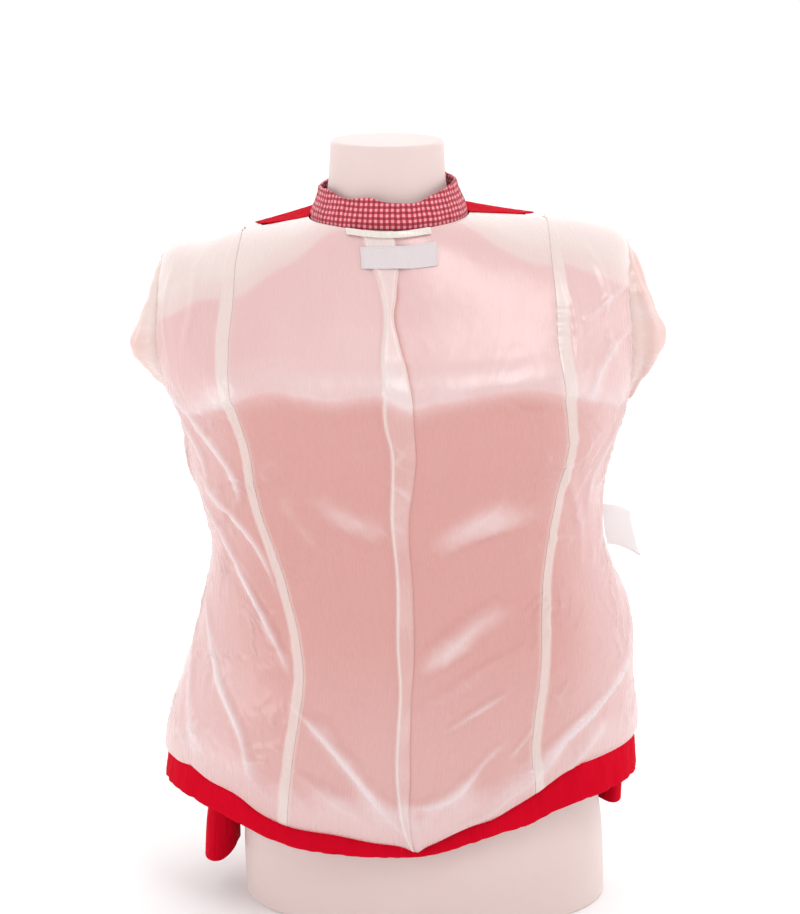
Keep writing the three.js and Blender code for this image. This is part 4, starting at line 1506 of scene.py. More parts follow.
@dataclass(frozen=True)
class SatinLining:
    """The body lining: eight satin panels, with the pleat, seam turnings and puckers."""

    seen_down: float = 2.6
    seen_across: float = 2.2
    far_down: float = 3.6
    far_across: float = 3.0
    turning: float = 12.5
    turning_loss: float = 3.5
    shows: ShowThrough = ShowThrough()
    turning_lift: float = 0.45
    pleat_under: float = 9.0
    pucker: float = 0.16
    hole_pucker: float = 0.42
    cluster_pucker: float = 0.6
    curl: float = 0.28
    hole_curl: float = 1.7
    chest: Knots = (
        (-420, 560), (-300, 575), (-213, 598), (-181, 612), (-144, 617), (-111, 638), (-92, 647),
        (-60, 668), (-20, 677), (40, 679), (70, 676), (99, 657), (139, 642), (166, 642), (191, 634),
        (241, 620), (300, 600), (420, 580),
    )
    cuts: tuple[tuple[str, Cut, Cut], ...] = (
        ("back", Cut(0.160, 0.59, 0.085), Cut(0.170, 0.59, 0.088)),
        ("side_back", Cut(0.185, 0.56, 0.081), Cut(0.165, 0.56, 0.072)),
        ("side_front", Cut(0.185, 0.56, 0.083), Cut(0.185, 0.56, 0.083)),
        ("front", Cut(0.050, 0.54, 0.0195), Cut(0.050, 0.54, 0.0195)),
    )

    def panel(self, part: str, side: Side) -> Panel:
        """A lining panel between its seams."""
        start, end, first = RedShell.boundaries(part, side)
        if part == "back":
            under = 0.0 if side is Side.LEFT else self.pleat_under
            start = SEAMS.at_offset(PLEAT.edge, -under)
        if part == "front":
            end, first = SEAMS.facing_edge(side), SEAMS.facing_level + 0.05
        seen = "back" in part
        down = self.seen_down if seen else self.far_down
        across = self.seen_across if seen else self.far_across
        return Panel(start, end, first, down=down, across=across, hem=DRAPE.lower_edge)

    @staticmethod
    def seam_gap(part: str, lay: Lay) -> Array:
        """Distance of each point from the princess seam."""
        return lay.from_start if part in ("side_back", "front") else lay.from_end

    @staticmethod
    def hole_gap(part: str, lay: Lay) -> Array:
        """Distance of each point of a side panel from its armhole."""
        return lay.from_end if part == "side_back" else lay.from_start

    def past_band(self, part: str, lay: Lay) -> Array:
        """Distance of each point past the seam turning that shows through the satin."""
        band = self.turning - self.turning_loss * ramp(lay.t, 5.2, 6.8)
        return self.seam_gap(part, lay) - band

    def puckers(self, part: str, side: Side, lay: Lay) -> Array:
        """Small gathers along the stitched edges."""
        d = np.minimum(lay.from_start, lay.from_end)
        if part == "back" and side is Side.LEFT:
            d = lay.from_end
        beat = np.sin(lay.z / 1.9 + 2.2 * np.sin(lay.z / 23)) * np.sin(lay.z / 5.3 + lay.s / 9)
        seam = self.pucker * beat * np.exp(-d / 7)
        if part.startswith("side"):
            near = ramp(lay.t, 3.6, 4.3) * (1 - ramp(lay.t, 6.9, 7.5))
            beat = np.sin(lay.z / 2.1 + np.sin(lay.z / 15))
            seam += self.hole_pucker * near * beat * np.exp(-self.hole_gap(part, lay) / 10)
            if side is Side.RIGHT:
                fading = bump(lay.z - 596, 22) * np.exp(-self.seam_gap(part, lay) / 14)
                seam += self.cluster_pucker * near * np.sin(lay.z / 1.7) * fading
        return seam

    def relief(self, part: str, side: Side, lay: Lay) -> Array:
        """How far a panel stands out beyond the lining's layer."""
        lift = DRAPE.height(lay.angle, lay.t, lay.s, lay.z) + self.puckers(part, side, lay)
        if part.startswith("side"):
            lift += self.turning_lift * (1 - ramp(self.past_band(part, lay), -1, 1.5))
        hole = ramp(lay.t, 3.4, 4.4) * (1 - ramp(lay.t, 6.8, 7.6))
        start = self.curl * bump(lay.from_start, 0.9)
        end = self.curl * bump(lay.from_end, 0.9)
        if part == "side_back":
            end = mix(end, self.hole_curl * bump(lay.from_end, 3.2), hole)
        if part == "side_front":
            start = mix(start, self.hole_curl * bump(lay.from_start, 3.2), hole)
        if part == "back":
            lift += PLEAT.raised(lay) if side is Side.LEFT else 0.0
            start = (1.1 if side is Side.LEFT else 0.4) * bump(lay.from_start, 1.2)
        return lift - start - end

    def tints(self, part: str, side: Side, lay: Lay, lift: Array) -> dict[str, Array]:
        """What shows through each point of a panel, with painted shade and painted highlights.

        Args:
            part: The panel's name.
            side: The panel's side.
            lay: The panel's grid.
            lift: How far the panel stands out.

        Returns:
            The finish's numbers by name.
        """
        shows, s, t, z = self.shows, lay.s, lay.t, lay.z
        # Deeper pink low on the sides and under the bust: partly red showing through where the
        # satin lies close, partly painted shade where the cloth turns down away from the light.
        side_low_red_and_shade = shows.side_red_and_shade * ramp(560 - z, 0, 60)
        under_bust_red_and_shade = ramp(DRAPE.below_bust(s, z), -7, 19)
        deep = mix(side_low_red_and_shade, under_bust_red_and_shade, ramp(sine(lay.angle), -0.1, 0.2))
        deep *= 1 - shows.side_loss * ramp(np.abs(s), 120, 210)
        deep *= 1 - shows.low_loss * ramp(330 - z, 0, 180)
        rise = z - through(self.chest, s)
        creams = [shows.chest * ramp(rise, -2, 3) + shows.shoulder * ramp(rise, 4, 24)]
        if part.startswith("side"):
            creams.append(shows.turning * (1 - ramp(self.past_band(part, lay), -1, 1)))
            creams.append(shows.armhole * (1 - ramp(self.hole_gap(part, lay), 8, 11)))
        else:
            creams.append(shows.seam * (1 - ramp(self.seam_gap(part, lay), 1.2, 3.0)))
        if part == "back" and side is Side.LEFT:
            d = PLEAT.offset(lay)
            strip = ramp(d, -1.0, 0.6)
            patch = (1 - ramp(d, 24, 25)) * (1 - ramp(t, 1.0, 1.06)) * ramp(t, 0.3, 0.36)
            creams.append(strip * mix(shows.pleat_high, shows.pleat_low, ramp(t, 5.7, 6.1)))
            # Painted highlight along the pleat's fold, laid into the cream tint.
            creams.append(shows.pleat_fold_highlight * bump(d, 1.3) * ramp(t, 2.2, 3.0))
            creams.append(shows.label_patch * strip * patch)
        elif part == "back":
            # Painted shadow under the pleat's folded edge, laid into the deep tint.
            shadow = bump(lay.from_start - self.pleat_under, 3.0) * ramp(t, 2.0, 3.0)
            deep = np.maximum(deep, shows.pleat_shadow * shadow)
        mark = bump(np.hypot(s + 74, z - 453), 1.9)
        deep = np.clip(deep + shows.mark * mark, 0, 1.6)
        # Paler where the satin stands off the red; the crest term is a painted highlight along the
        # sharp tops of folds.
        loose = shows.lifted * smooth((lift - 0.7) / 5.5) + shows.crest * DRAPE.crests(s, z)
        loose *= 1 - 0.5 * smooth(1 - DRAPE.above_edge(s, t) / 48)
        loose += shows.side_loose * ramp(np.abs(s), 125, 230) * ramp(z, 560, 500)
        cream = np.max(creams, axis=0) * (1 - mark)
        return {"deep": deep, "cream": cream, "loose": np.clip(loose, 0, 1) * (1 - mark)}

    def build(self) -> list[Piece]:
        """Make, dress and seat the lining panels."""
        pieces = []
        for part, *pair in self.cuts:
            for side, cut in zip(Side, pair):
                lay = self.panel(part, side).lay()
                lift = self.relief(part, side, lay)
                name = f"{part}_{side.label}"
                cloth = lay.cloth(LINING, lift, self.tints(part, side, lay, lift))
                pieces.append(fit(cloth.build(f"satin_{name}"), [f"lining_{name}"], SATIN,
                                  [f"cloth_{name}"]))
        return pieces


@dataclass(frozen=True)
class StandCollar:
    """The check stand collar: one band folded over at its top edge."""

    height: float = 29.0
    lean: float = -4.0
    top: Knots = (
        (-90, 0), (-30, 1.5), (5, 2.0), (30, 0.5), (48, -2.5), (62, -6.0), (80, -8.0), (92, -7.0),
        (102, -4.0), (110, -3.0), (120, -5.0), (134, -4.0), (150, -1.0), (170, 0.5), (190, -1),
        (270, 0),
    )
    inner_depth: float = -1.8
    outer_depth: float = -3.3
    thickness: float = 1.2
    rows: int = 18
    columns: int = 330
    per_degree: float = 1.35
    side_lean: tuple[float, float] = (7.0, 4.0)
    crumple: tuple[float, float] = (0.45, 0.22)
    wave: tuple[float, float] = (0.7, 0.3)
    cut: Cut = Cut(0.46, 0.060)

    def place(self, angle: Array, up: Array, depth: Array) -> Array:
        """Points of the collar: up is 0 at the neck seam and 1 at the fold."""
        base = BODY.point(angle, 0.0)
        across = BODY.point(angle + 0.4, 0.0) - BODY.point(angle - 0.4, 0.0)
        out = unit(np.cross(np.array([0, 0, 1.0]), across))
        run = angle * self.per_degree
        crumple = self.crumple[0] * ripple(run, up * 34, 31, 16, lean=0.35)
        crumple += self.crumple[1] * ripple(run, up * 30, 32, 7, lean=0.5)
        side = np.cos(np.radians(angle))
        lean = self.lean - np.abs(side) ** 1.5 * np.where(side > 0, *self.side_lean)
        shift = depth + lean * smooth(up * 0.9) + crumple * smooth(up * 4)
        point = base + out * shift[..., None]
        wave = through(self.top, angle) + self.wave[0] * ripple(run, 0 * run, 33, 38)
        wave += self.wave[1] * ripple(run, 0 * run, 34, 13)
        point[..., 2] += LINING.inner + (self.height + wave) * up
        return point

    def build(self) -> Piece:
        """Make, dress and seat the collar."""
        ends = [SEAMS.front_edge(side)(np.zeros(1))[0] for side in (Side.RIGHT, Side.LEFT)]
        angle = np.linspace(*ends, self.columns)
        rise = np.linspace(-0.05, 1, self.rows)
        bend = (self.inner_depth - self.outer_depth) / 2
        half = self.thickness / 2
        grids = []
        for offset in (-half, half):
            rows = [(up, self.inner_depth + offset) for up in rise]
            for phi in np.linspace(0, math.pi, 7)[1:-1]:
                reach = bend + offset
                depth = (self.inner_depth + self.outer_depth) / 2 + reach * math.cos(phi)
                rows.append((1 + reach * math.sin(phi) / self.height, depth))
            rows += [(up, self.outer_depth - offset) for up in rise[::-1]]
            grids.append(np.array([self.place(angle, np.full_like(angle, up), depth)
                                   for up, depth in rows]))
        run = np.broadcast_to(lengths(grids[1], 1)[self.rows // 2 + 1], grids[1].shape[:2])
        uv = np.stack([run, lengths(grids[1], 0)], axis=-1)
        piece = Cloth(grids[0], grids[1], uv).build("check_collar")
        return fit(piece, ["collar_inner", "collar_outer"], CHECK,
                   ["cloth_back_left", "cloth_back_right"])


def read_at(rows: Array, run: Array, at: float) -> Array:
    """Read points or directions at a distance along their line."""
    return np.array([np.interp(at, run, column) for column in rows.T])


STITCH = (  # places along a stitch, with its size and rise there
    (0.0, 0.35, -0.1), (0.15, 0.9, 0.25), (0.5, 1.0, 0.55), (0.85, 0.9, 0.25), (1.0, 0.35, -0.1),
)


def stitches(name: str, runs: Sequence[tuple[Array, Array]], finish: Finish, length: float,
             gap: float, thick: float) -> Piece:
    """Sew lines of small raised stitches, as one piece.

    Args:
        name: The piece's name.
        runs: For each line, its points and the outward direction at each point.
        finish: The thread.
        length: The length of a stitch.
        gap: The distance between stitches.
        thick: Half the thread's thickness.

    Returns:
        The new object.
    """
    points, faces, count = [], [], 0
    sides = 6
    turns = circle(sides)[:, None]
    caps = np.array([[0, 1, 2, 3], [0, 3, 4, 5]])
    for line, facing in runs:
        run = run_of(line)
        for begin in np.arange(gap, run[-1] - length, length + gap):
            for f, size, rise in STITCH:
                at = begin + f * length
                middle, up = read_at(line, run, at), unit(read_at(facing, run, at))
                across = unit(np.cross(read_at(line, run, at + 0.3) - middle, up))
                ring = (np.cos(turns) * across + np.sin(turns) * up) * size
                points.append(middle + (up * rise + ring) * thick)
            faces.append(grid_faces(len(STITCH), sides, count, True))
            faces += [caps[:, ::-1] + count, caps + count + (len(STITCH) - 1) * sides]
            count += len(STITCH) * sides
    piece = mesh_object(name, np.concatenate(points), [np.concatenate(faces)])
    seat(piece, [])
    finish.dress(piece)
    return piece


def fractions(rows: int, columns: int) -> tuple[Array, Array]:
    """Positions from 0 to 1 across a grid and down it."""
    return np.linspace(0, 1, columns)[None, :], np.linspace(0, 1, rows)[:, None]


@dataclass(frozen=True)
class Labels:
    """The hanger loop, the bare neck label and the bare care label."""

    loop_ends: tuple[float, float] = (-38.0, 36.0)
    loop_layer: Layer = Layer(4.5, 5.5)
    loop_slack: float = 2.9
    label_ends: tuple[float, float] = (-28.0, 40.0)
    label_height: float = 19.0
    label_layer: Layer = Layer(4.55, 5.3)
    label_flare: float = 0.9
    loop_cut: Cut = Cut(0.078, 0.010, 0.0006)
    label_cut: Cut = Cut(0.070, 0.022)
    care_cut: Cut = Cut(0.060, 0.040)

    @staticmethod
    def patch(offset: Array, t: Array) -> Lay:
        """A small grid placed by offset from the middle and by level."""
        angle = BODY.angle_at(t, offset, True)
        zero = np.zeros(angle.shape)
        return Lay(angle, t, zero, zero)

    def loop(self) -> Piece:
        """The hanger loop, slack in its middle and tacked at both ends."""
        k, r = fractions(9, 90)
        sag = 0.035 * np.sin(math.pi * k)
        lay = self.patch(mix(*self.loop_ends, k) + 0 * r, mix(0.10, 0.50, r) + sag)
        lift = self.loop_slack * np.sin(math.pi * k) ** 0.45 + 0.25 * np.cos(math.pi * (r - 0.5))
        lift += 0.12 * ripple(lay.s, lay.z, 41, 9)
        zero = np.zeros(lift.shape)
        tints = {"deep": zero, "cream": zero + 0.8, "loose": zero}
        piece = lay.cloth(self.loop_layer, lift, tints).build("loop_band")
        top = lay.at(self.loop_layer.outer + lift + 0.02)
        tacks = [(top[:, column], lay.normal[:, column]) for column in (3, 5, 84, 86)]
        sewn = stitches("loop_tacks", tacks, CREAM_THREAD, length=1.3, gap=0.35, thick=0.2)
        return fit(piece, ["hanger_loop"], LOOP_SATIN,
                   ["satin_back_left", "satin_back_right"])

    def label(self) -> Piece:
        """The neck label, sewn along its top and its two ends."""
        k, r = fractions(30, 110)
        offset = mix(*self.label_ends, k) - 1.5 * r
        lay = self.patch(offset, mix(mix(1.04, 0.86, k), mix(2.0, 1.93, k), r))
        over_pleat = ramp(offset, -27.5, -19) * (1 - ramp(offset, 4, 16))
        flare = smooth(r * 1.2) * (bump(k - 0.42, 0.16) + 0.6 * bump(k - 0.9, 0.1))
        lift = DRAPE.height(lay.angle, lay.t, lay.s, lay.z) + 1.75 * over_pleat
        lift += self.label_flare * flare * np.sin(math.pi * k)
        width = self.label_ends[1] - self.label_ends[0]
        edge = np.minimum(np.minimum(k, 1 - k) * width, r * self.label_height)
        lift -= 0.22 * bump(edge - 1.5, 0.7)
        piece = lay.cloth(self.label_layer, lift).build("neck_label_ribbon")
        top, out = lay.at(self.label_layer.outer + lift + 0.03), lay.normal
        lines = (slice(1, None), 2), (slice(1, None), -3), (2, slice(2, -2))
        sewn = stitches("label_stitches", [(top[at], out[at]) for at in lines], LABEL_THREAD,
                        length=1.7, gap=0.9, thick=0.14)
        return fit(piece, ["neck_label"], RIBBON,
                   ["satin_back_left", "satin_back_right"])

    def care(self) -> Piece:
        """The care label: a tape folded double, sewn into the right side seam."""
        r = np.linspace(0, 1, 24)[:, None]
        run = np.concatenate([np.linspace(0, 1, 26), np.linspace(1, 0, 26)])
        back = np.repeat([0.0, 1.0], 26)
        root = BODY.point(0.0, mix(8.62, 9.12, r))
        x = root[..., 0] + LINING.outer + 2.2 + mix(31.0, 26.0, 1 - r) * run
        y = 2.2 * np.sin(2.6 * run + 2 * r) * run - 5.0 * np.sin(math.pi / 2 * run)
        y += mix(-0.45, 0.9, back)
        z = root[..., 2] - 7.0 * run**2 + 1.5 * np.sin(3 * run + r) * run - 2.2 * back * run
        middle = np.stack([x, y, z], axis=-1)
        half = 0.2 * sheet_normals(middle)
        uv = np.stack([lengths(middle, 1), lengths(middle, 0)], axis=-1)
        piece = Cloth(middle - half, middle + half, uv).build("care_label_tape")
        return fit(piece, ["care_label"], CARE_TAPE,
                   ["satin_side_back_right"])

    def build(self) -> list[Piece]:
        """Make, dress and seat the loop and the labels."""
        return [self.loop(), self.label(), self.care()]


@dataclass(frozen=True)
class Sleeve:
    """One sleeve, rolled out over its armhole and back through it, hanging inside the body.

    The lip holds each ring's scale and how far out it rolls, the bend each ring's turn in
    degrees, half height and half width. Each hanging ring holds its level, turn, depth inside
    the cloth, half depth, half spread in degrees and drop.
    """

    side: Side
    roll: float
    hang: Rows
    cloth_cut: Cut
    satin_cut: Cut
    lip: Knots = (
        (1, 0), (1, 0.35), (0.97, 0.75), (0.88, 1), (0.77, 0.9), (0.7, 0.55), (0.66, 0.1),
    )
    bend: tuple[tuple[float, float, float], ...] = (
        (12, 46, 33), (30, 40, 37), (50, 33, 42), (70, 26, 46), (90, 20, 49),
    )
    head: Knots = (
        (0, 0.22), (0.18, 0.46), (0.36, 0.82), (0.5, 1.0), (0.72, 0.86), (0.9, 0.46), (1, 0.28),
    )
    pivot_above: float = 15.0
    pivot_inside: float = 5.0
    pivot_clear: float = 8.0
    inset: float = 1.8
    cuff_slant: float = 0.0
    # Deeper pink over the whole sleeve: partly red showing through, partly painted shade.
    added_red_and_shade: float = 0.0
    columns: int = 104
    head_length: float = 84.0
    radius: float = 32.0
    seams: tuple[float, float] = (1.91, 4.37)
    seam_dent: float = 0.5
    head_gather: float = 1.3
    fall_gather: float = 0.35
    stitch_gather: float = 0.5
    crease: float = 1.2
    crease_pitch: float = 15.0
    tuck: float = 1.6
    waves: tuple[int, ...] = (3, 5, 7, 11, 17)
    satin_layer: Layer = Layer(-1.15, -0.15)
    cloth_layer: Layer = Layer(0.15, 1.35)

    def rings(self) -> Array:
        """The closed rings that the sleeve's own middle surface runs through."""
        sign = self.side.value
        theta = circle(self.columns)
        t = mix(Level.TIP.value, Level.UNDERARM.value, (1 - np.cos(theta)) / 2)
        front, back = (SEAMS.armhole_edge(self.side, half)(t) for half in (True, False))
        edge = BODY.point(np.where(np.sin(theta) >= 0, front, back), t)
        top, bottom = edge[0], edge[self.columns // 2]
        core = edge.mean(axis=0)
        core[2] = (top[2] + bottom[2]) / 2
        arm = edge - core
        length = np.linalg.norm(arm, axis=1, keepdims=True)
        fullness = self.roll * through(self.head, (top[2] - edge[:, 2]) / (top[2] - bottom[2]))
        rings = []
        for scale, out in self.lip:
            ring = core + arm * scale * (length - self.inset) / length
            ring[:, 0] -= sign * (0.4 + out * fullness)
            rings.append(ring)
        pivot = np.array([bottom[0] + sign * self.pivot_inside, 0, bottom[2] + self.pivot_above])
        for turn, high, wide in self.bend:
            lean = math.radians(turn)
            reach = self.pivot_clear + high * (1 + np.cos(theta))
            rings.append(pivot + np.stack([sign * math.sin(lean) * reach, -wide * np.sin(theta),
                                           math.cos(lean) * reach], axis=1))
        for t0, turn, deep, half, spread, drop in self.hang:
            angle = self.side.ridge - sign * (spread * np.sin(theta) - turn)
            normal = BODY.normal(angle, np.full_like(theta, t0))
            normal[:, 2] = 0
            ring = BODY.point(angle, t0) - unit(normal) * (deep + half * np.cos(theta))[:, None]
            ring[:, 2] -= drop
            rings.append(ring)
        rings[-1][:, 2] += self.cuff_slant * np.cos(theta)
        return np.array(rings)

    def tube(self, rings: Array, layer: Layer, rows: int) -> Cloth:
        """Run a tube of cloth through the rings.

        Args:
            rings: The rings it follows.
            layer: Its inner and outer face, out from the rings.
            rows: How many rows of points it gets.

        Returns:
            The tube, with the gathers of its head and the creases of its fall.
        """
        run = lengths(rings, 0).mean(axis=1)
        head_rows = rows // 2
        stops = np.concatenate([np.linspace(0, self.head_length, head_rows, endpoint=False),
                                np.linspace(self.head_length, run[-1], rows - head_rows)])
        at = np.interp(stops, run, np.arange(len(rings)))
        flat = spline(rings.reshape(len(rings), -1), at).reshape(rows, self.columns, 3)
        facing = sheet_normals(flat, closed=True) * -self.side.value
        theta, down = circle(self.columns)[None, :], stops[:, None]
        seed = 50 + self.side.value
        rng = np.random.default_rng(seed)
        lift = np.zeros(flat.shape[:2])
        for n in self.waves:
            phase, sway = rng.uniform(0, 2 * math.pi, 2)
            lift += np.sin(n * theta + phase + 0.5 * np.sin(down / 40 + sway)) / n**0.5
        head = ramp(down, 2, 14) * (1 - ramp(down, 70, 130))
        fall = ramp(down, 110, 160) * (1 - ramp(down, run[-1] - 60, run[-1]))
        relief = lift * (self.head_gather * head + self.fall_gather * fall)
        gathers = np.sin(26 * theta + 1.5 * np.sin(3 * theta))
        relief += self.stitch_gather * gathers * bump(down - 9, 9) * ramp(down, 0, 5)
        sway = 1.9 * np.sin(2 * theta + 0.6) + 0.8 * np.sin(5 * theta + seed)
        crease = np.sin(2 * math.pi * down / self.crease_pitch + sway)
        relief += self.crease * crease * ramp(down, 3, 12) * (1 - ramp(down, 44, 66))
        relief -= self.tuck * bump(down - 3, 5)
        from_seam = np.min([np.abs(theta - seam) for seam in self.seams], axis=0)
        relief -= self.seam_dent * bump(from_seam, 0.05)
        middle = flat + facing * relief[..., None]
        uv = np.stack(np.broadcast_arrays(theta * self.radius, down), axis=-1)
        # Painted shade in the gathers' troughs and painted highlight on their crests; the added
        # deep tone on the right sleeve is partly red under a single satin layer, partly painted
        # shade.
        tints = {
            "deep": self.added_red_and_shade + 0.5 * ramp(-lift, 0.0, 1.6),
            "cream": np.broadcast_to(0.25 * (1 - ramp(down, 6, 12)), lift.shape),
            "loose": 0.5 * ramp(lift, 0.2, 1.6),
        }
        return Cloth(middle + facing * layer.inner, middle + facing * layer.outer, uv, tints, True)

    def build(self) -> list[Piece]:
        """Make, dress and seat the sleeve's cloth and lining."""
        rings, word = self.rings(), self.side.label
        cloth = self.tube(rings, self.cloth_layer, 112).build(f"sleeve_cloth_{word}")
        fit(cloth, [f"sleeve_top_{word}", f"sleeve_under_{word}"], RED,
            [f"cloth_side_back_{word}"])
        satin = self.tube(rings[:-1], self.satin_layer, 106).build(f"sleeve_satin_{word}")
        fit(satin, [f"sleeve_lining_top_{word}", f"sleeve_lining_under_{word}"], SLEEVE_SATIN,
            [cloth.name])
        return [cloth, satin]


SLEEVES = (
    Sleeve(Side.LEFT, 26, (
        (7.5, 0, 28, 19, 14, 0), (8, 0, 27, 18, 14, 0), (9, 1, 26, 17, 14, 0),
        (10, 2, 32, 16, 13, 0), (11, 4, 46, 14, 11.5, 0), (12, 5, 59, 14, 10.5, 0),
        (12, 5, 53, 15, 12.5, 46), (12, 5, 51, 15.5, 14.5, 79),
    ), Cut(0.30, 0.60, 0.109), Cut(0.30, 0.56, 0.107), cuff_slant=6.0),
    Sleeve(Side.RIGHT, 34, (
        (7.5, 0, 28, 19, 14, 0), (8, 1, 25, 17, 14, 0), (9, 2, 26, 16, 14, 0),
        (10, 5, 35, 14, 13, 0), (11, 9, 26, 12, 12, 0), (12, 13, 19, 11, 11, 0),
        (12, 13, 19, 12, 11, 40),
    ), Cut(0.32, 0.56, 0.110), Cut(0.32, 0.53, 0.106), added_red_and_shade=0.5),
)


@dataclass(frozen=True)
class DressForm:
    """The limbless dress form: neck, shoulders and torso in one moulded shell.

    The neck and the torso are sections like the body surface's, and the yoke lists levels of it.
    """

    neck: Rows = (
        (-90, 750, 15, 750, 54, 750, 50, 750, 2, 2), (-91, 728, 16, 728, 54, 727, 50, 728, 2, 2),
        (-93, 706, 18, 707, 55, 704, 51, 706, 2, 2), (-98, 687, 24, 690, 60, 685, 56, 694, 2, 2),
    )
    torso: Rows = (
        (-187, 648, 124, 661, 92, 609, 87, 630, 2.2, 2.2),
        (-182, 614, 117, 624, 103, 576, 95, 592, 2.3, 2.2),
        (-162, 570, 102, 576, 127, 543, 101, 553, 2.3, 2.2),
        (-160, 528, 99, 532, 134, 511, 104, 512, 2.3, 2.2),
        (-156, 470, 100, 470, 125, 454, 103, 461, 2.2, 2.2),
        (-147, 390, 106, 390, 107, 378, 97, 384, 2.2, 2.2),
        (-147, 345, 112, 345, 106, 335, 97, 340, 2.2, 2.2),
        (-158, 272, 131, 272, 109, 262, 105, 268, 2.2, 2.2),
        (-173, 184, 152, 184, 112, 178, 115, 180, 2.2, 2.2),
        (-180, 80, 173, 92, 109, 80, 113, 84, 2.2, 2.2),
        (-180, 25, 178, 25, 105, 25, 109, 25, 2.2, 2.2),
        (-179, 0, 179, 0, 104, 0, 108, 0, 2.2, 2.2),
    )
    yoke: tuple[float, ...] = (0, 0.25, 0.5, 0.75, 1, 1.25, 1.5, 1.75, 2, 2.2, 2.4)
    columns: int = 168
    rim: float = 3.0
    parting: float = 0.35

    @staticmethod
    def seat_depth(angle: Array, t: float) -> Array:
        """How far the shoulder lies inside the cloth that it carries."""
        away = np.abs((angle + 90) % 180 - 90)
        clear = mix(4.5, 0.5, ramp(t, 0, 0.5))
        return mix(clear, 4.0, ramp(away, 0, 9)) + 3.0 * ramp(away, 9, 60)

    def rings(self, angle: Array) -> Array:
        """Closed rings from the top of the neck to the base."""
        neck = [ring_point(spline(self.neck, k), angle) for k in np.linspace(0, 3, 22)]
        yoke = [BODY.point(angle, t) - BODY.normal(angle, t) * self.seat_depth(angle, t)[:, None]
                for t in self.yoke]
        torso = [ring_point(spline(self.torso, k), angle) for k in np.linspace(0, 11, 111)]
        top, *middle, foot = neck + yoke + torso
        rounded = self.rounded(top, 1.0)[::-1] + middle[1:-1] + self.rounded(foot, -1.0)
        return np.array(rounded)

    def rounded(self, edge: Array, up: float) -> list[Array]:
        """Rings that round an end over and close it in towards its middle."""
        core = edge.mean(axis=0)
        rings = []
        for phi in np.linspace(0, math.pi / 2, 5):
            ring = edge + unit(core - edge) * self.rim * (1 - math.cos(phi))
            ring[:, 2] -= up * self.rim * (1 - math.sin(phi))
            rings.append(ring)
        for k in (0.97, 0.8, 0.55, 0.3, 0.1):
            ring = mix(core, rings[4], k)
            ring[:, 2] = rings[4][:, 2] + up * 0.5 * (1 - k)
            rings.append(ring)
        return rings

    def build(self) -> Piece:
        """Make, dress and seat the form."""
        angle = np.linspace(0, 360, self.columns, endpoint=False)
        rings = self.rings(angle)
        groove = bump(np.minimum(np.abs(angle - 180), np.minimum(angle, 360 - angle)), 0.7)
        inward = unit((rings.mean(axis=1, keepdims=True) - rings) * np.array([1, 1, 0]))
        rings = rings + inward * (self.parting * groove)[None, :, None]
        piece = capped("form_body", rings)
        set_attribute(piece, "parting", np.concatenate([np.tile(groove, len(rings)), [0, 0]]))
        seat(piece, ["dress_form"])
        PLASTIC.dress(piece)
        return piece


@dataclass(frozen=True)
class Buttons:
    """Five horn buttons on the shell side of the right front."""

    radius: float = 9.0
    thickness: float = 4.0
    from_edge: float = 14.0
    count: int = 5
    first: float = 3.8
    last: float = 9.4
    gap: float = 0.8
    hole: float = 1.05
    hole_spread: float = 2.2

    def profile(self, x: Array, y: Array, front: bool) -> Array:
        """The height of a button's face over its own middle plane."""
        r = np.hypot(x, y) / self.radius
        dish = 0.55 * (1 - ramp(r, 0.45, 0.72))
        edge = 1.5 * np.clip((r - 0.86) / 0.14, 0, 1) ** 2
        height = self.thickness / 2 - edge - (dish if front else 0.2 * r)
        if front:
            for a, b in ((1, 1), (1, -1), (-1, 1), (-1, -1)):
                away = np.hypot(x - a * self.hole_spread, y - b * self.hole_spread)
                height = height - 1.6 * (1 - ramp(away, self.hole - 0.3, self.hole + 0.25))
        return height

    def build(self) -> list[Piece]:
        """Make, dress and seat the buttons with their thread."""
        pieces = []
        turns = circle(48)[None, :]
        reach = np.linspace(0.02, 1, 26)[:, None] * self.radius
        x, y = reach * np.cos(turns), reach * np.sin(turns)
        for number in range(1, self.count + 1):
            t = np.array(mix(self.first, self.last, (number - 1) / (self.count - 1)))
            angle = BODY.angle_at(t, SEAMS.edge_offset(t) + self.from_edge, False)
            normal = BODY.normal(angle, t)
            core = BODY.point(angle, t) - normal * (self.thickness / 2 + self.gap)
            side = unit(np.cross(np.array([0, 0, 1.0]), normal))
            up = np.cross(normal, side)
            flat = core + x[..., None] * side + y[..., None] * up
            back = flat + self.profile(x, y, False)[..., None] * normal
            front = flat - self.profile(x, y, True)[..., None] * normal
            piece = capped(f"horn_button_{number}", np.concatenate([back, front[::-1]]), sharp=60)
            seat(piece, [f"button_{number}"])
            HORN.dress(piece)
            pieces += [piece, self.sewn(number, core, side, up, normal)]
        return pieces

    def sewn(self, number: int, core: Array, side: Array, up: Array, normal: Array) -> Piece:
        """The thread over a button's holes, in two bars."""
        runs = []
        face = self.thickness / 2 - 0.45
        for b in (-1, 1):
            for shift in (-0.3, 0.3):
                row = core + up * (b * self.hole_spread + shift) - normal * face
                line = np.linspace(row - 1.25 * self.hole_spread * side,
                                   row + 1.25 * self.hole_spread * side, 9)
                runs.append((line, np.broadcast_to(-normal, line.shape)))
        return stitches(f"button_thread_{number}", runs, RED_THREAD, length=4.9, gap=0.2,
                        thick=0.28)


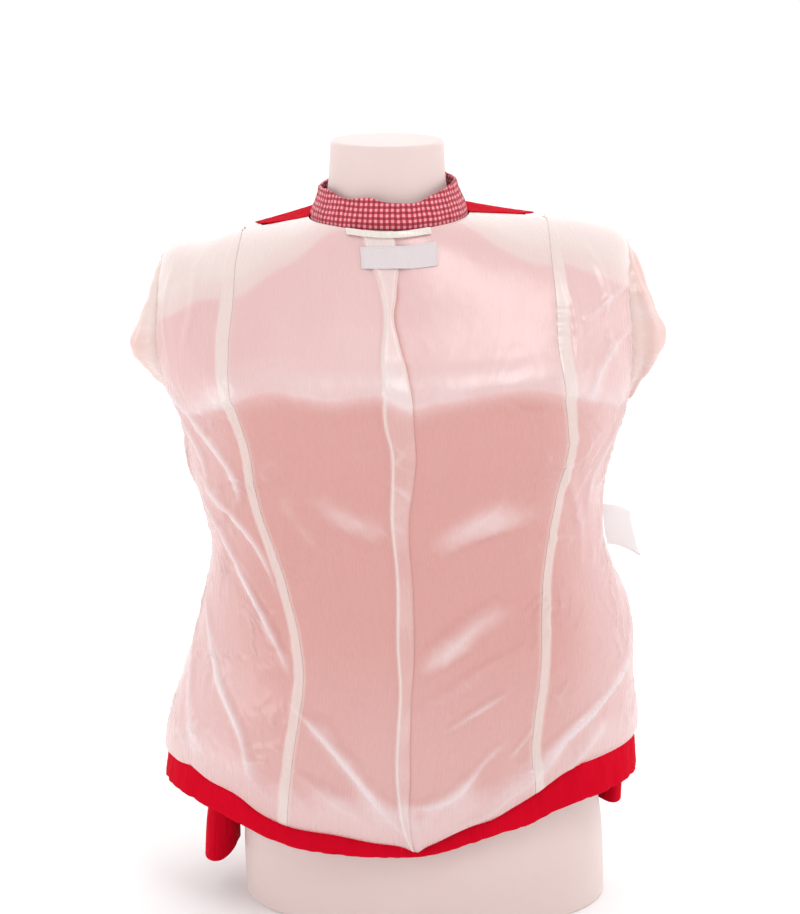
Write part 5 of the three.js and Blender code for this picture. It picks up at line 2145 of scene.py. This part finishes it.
@dataclass(frozen=True)
class Studio:
    """White floor, soft lights and the camera.

    Each light holds its name, place, aim, size in metres and power in watts.
    """

    floor_half: float = 60.0
    camera_at: Color = (-0.0255, -2.2, 1.032)
    camera_down: float = 14.93
    lens: float = 93.5
    world: tuple[float, float] = (0.66, 1.60)
    world_span: tuple[float, float] = (-0.8, 0.7)
    lights: tuple[tuple[str, Color, Color, float, float], ...] = (
        ("key", (0.65, -1.6, 2.5), (0.0, 0.0, 0.42), 1.0, 12.5),
        ("fill", (-2.0, -1.6, 0.65), (0.0, 0.0, 0.32), 1.4, 10.5),
        ("side", (2.1, -0.8, 0.9), (0.1, 0.0, 0.30), 1.6, 6.5),
    )

    def floor(self) -> None:
        """Lay the floor."""
        n = self.floor_half / MM
        points = np.array([[-n, -n, 0], [n, -n, 0], [n, n, 0], [-n, n, 0]])
        floor = mesh_object("floor", points, [np.array([[0, 1, 2, 3]])])
        floor.data.materials.append(Floor("studio_paper", "form_plastic").material())

    def light(self) -> None:
        """Set the soft lights and the white surroundings."""
        world = bpy.data.worlds.new("studio")
        world.use_nodes = True
        nodes, links = world.node_tree.nodes, world.node_tree.links
        nodes["Background"].inputs["Color"].default_value = (1.0, 1.0, 1.0, 1.0)
        where, parts = nodes.new("ShaderNodeTexCoord"), nodes.new("ShaderNodeSeparateXYZ")
        span = nodes.new("ShaderNodeMapRange")
        for ends, values in (("From", self.world_span), ("To", self.world)):
            for end, value in zip(("Min", "Max"), values):
                span.inputs[f"{ends} {end}"].default_value = value
        links.new(where.outputs["Generated"], parts.inputs[0])
        links.new(parts.outputs["Y"], span.inputs["Value"])
        links.new(span.outputs[0], nodes["Background"].inputs["Strength"])
        bpy.context.scene.world = world
        for name, at, aim, size, power in self.lights:
            data = bpy.data.lights.new(name, "AREA")
            data.shape, data.size, data.energy = "DISK", size, power
            lamp = bpy.data.objects.new(name, data)
            lamp.location = at
            lamp.rotation_euler = (Vector(aim) - Vector(at)).to_track_quat("-Z", "Y").to_euler()
            bpy.context.scene.collection.objects.link(lamp)

    def camera(self) -> None:
        """Set the camera."""
        data = bpy.data.cameras.new("camera")
        data.sensor_width, data.lens, data.clip_end = 36.0, self.lens, 300.0
        camera = bpy.data.objects.new("camera", data)
        camera.location = self.camera_at
        camera.rotation_euler = (math.radians(90 - self.camera_down), 0, 0)
        bpy.context.scene.collection.objects.link(camera)
        bpy.context.scene.camera = camera

    def build(self) -> None:
        """Set up the studio."""
        self.floor()
        self.light()
        self.camera()
        bpy.context.scene.view_settings.view_transform = "Standard"


def main() -> None:
    """Build the blazer on its form."""
    logging.basicConfig(level=logging.INFO, format="%(message)s")
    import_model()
    Studio().build()
    garment = (RedShell(), SatinLining(), StandCollar(), Labels(), *SLEEVES, Buttons())
    for builder in (DressForm(), *garment):
        made = builder.build()
        for piece in made if isinstance(made, list) else [made]:
            log.info("%s: %d faces", piece.name, len(piece.data.polygons))


if __name__ == "__main__":
    main()
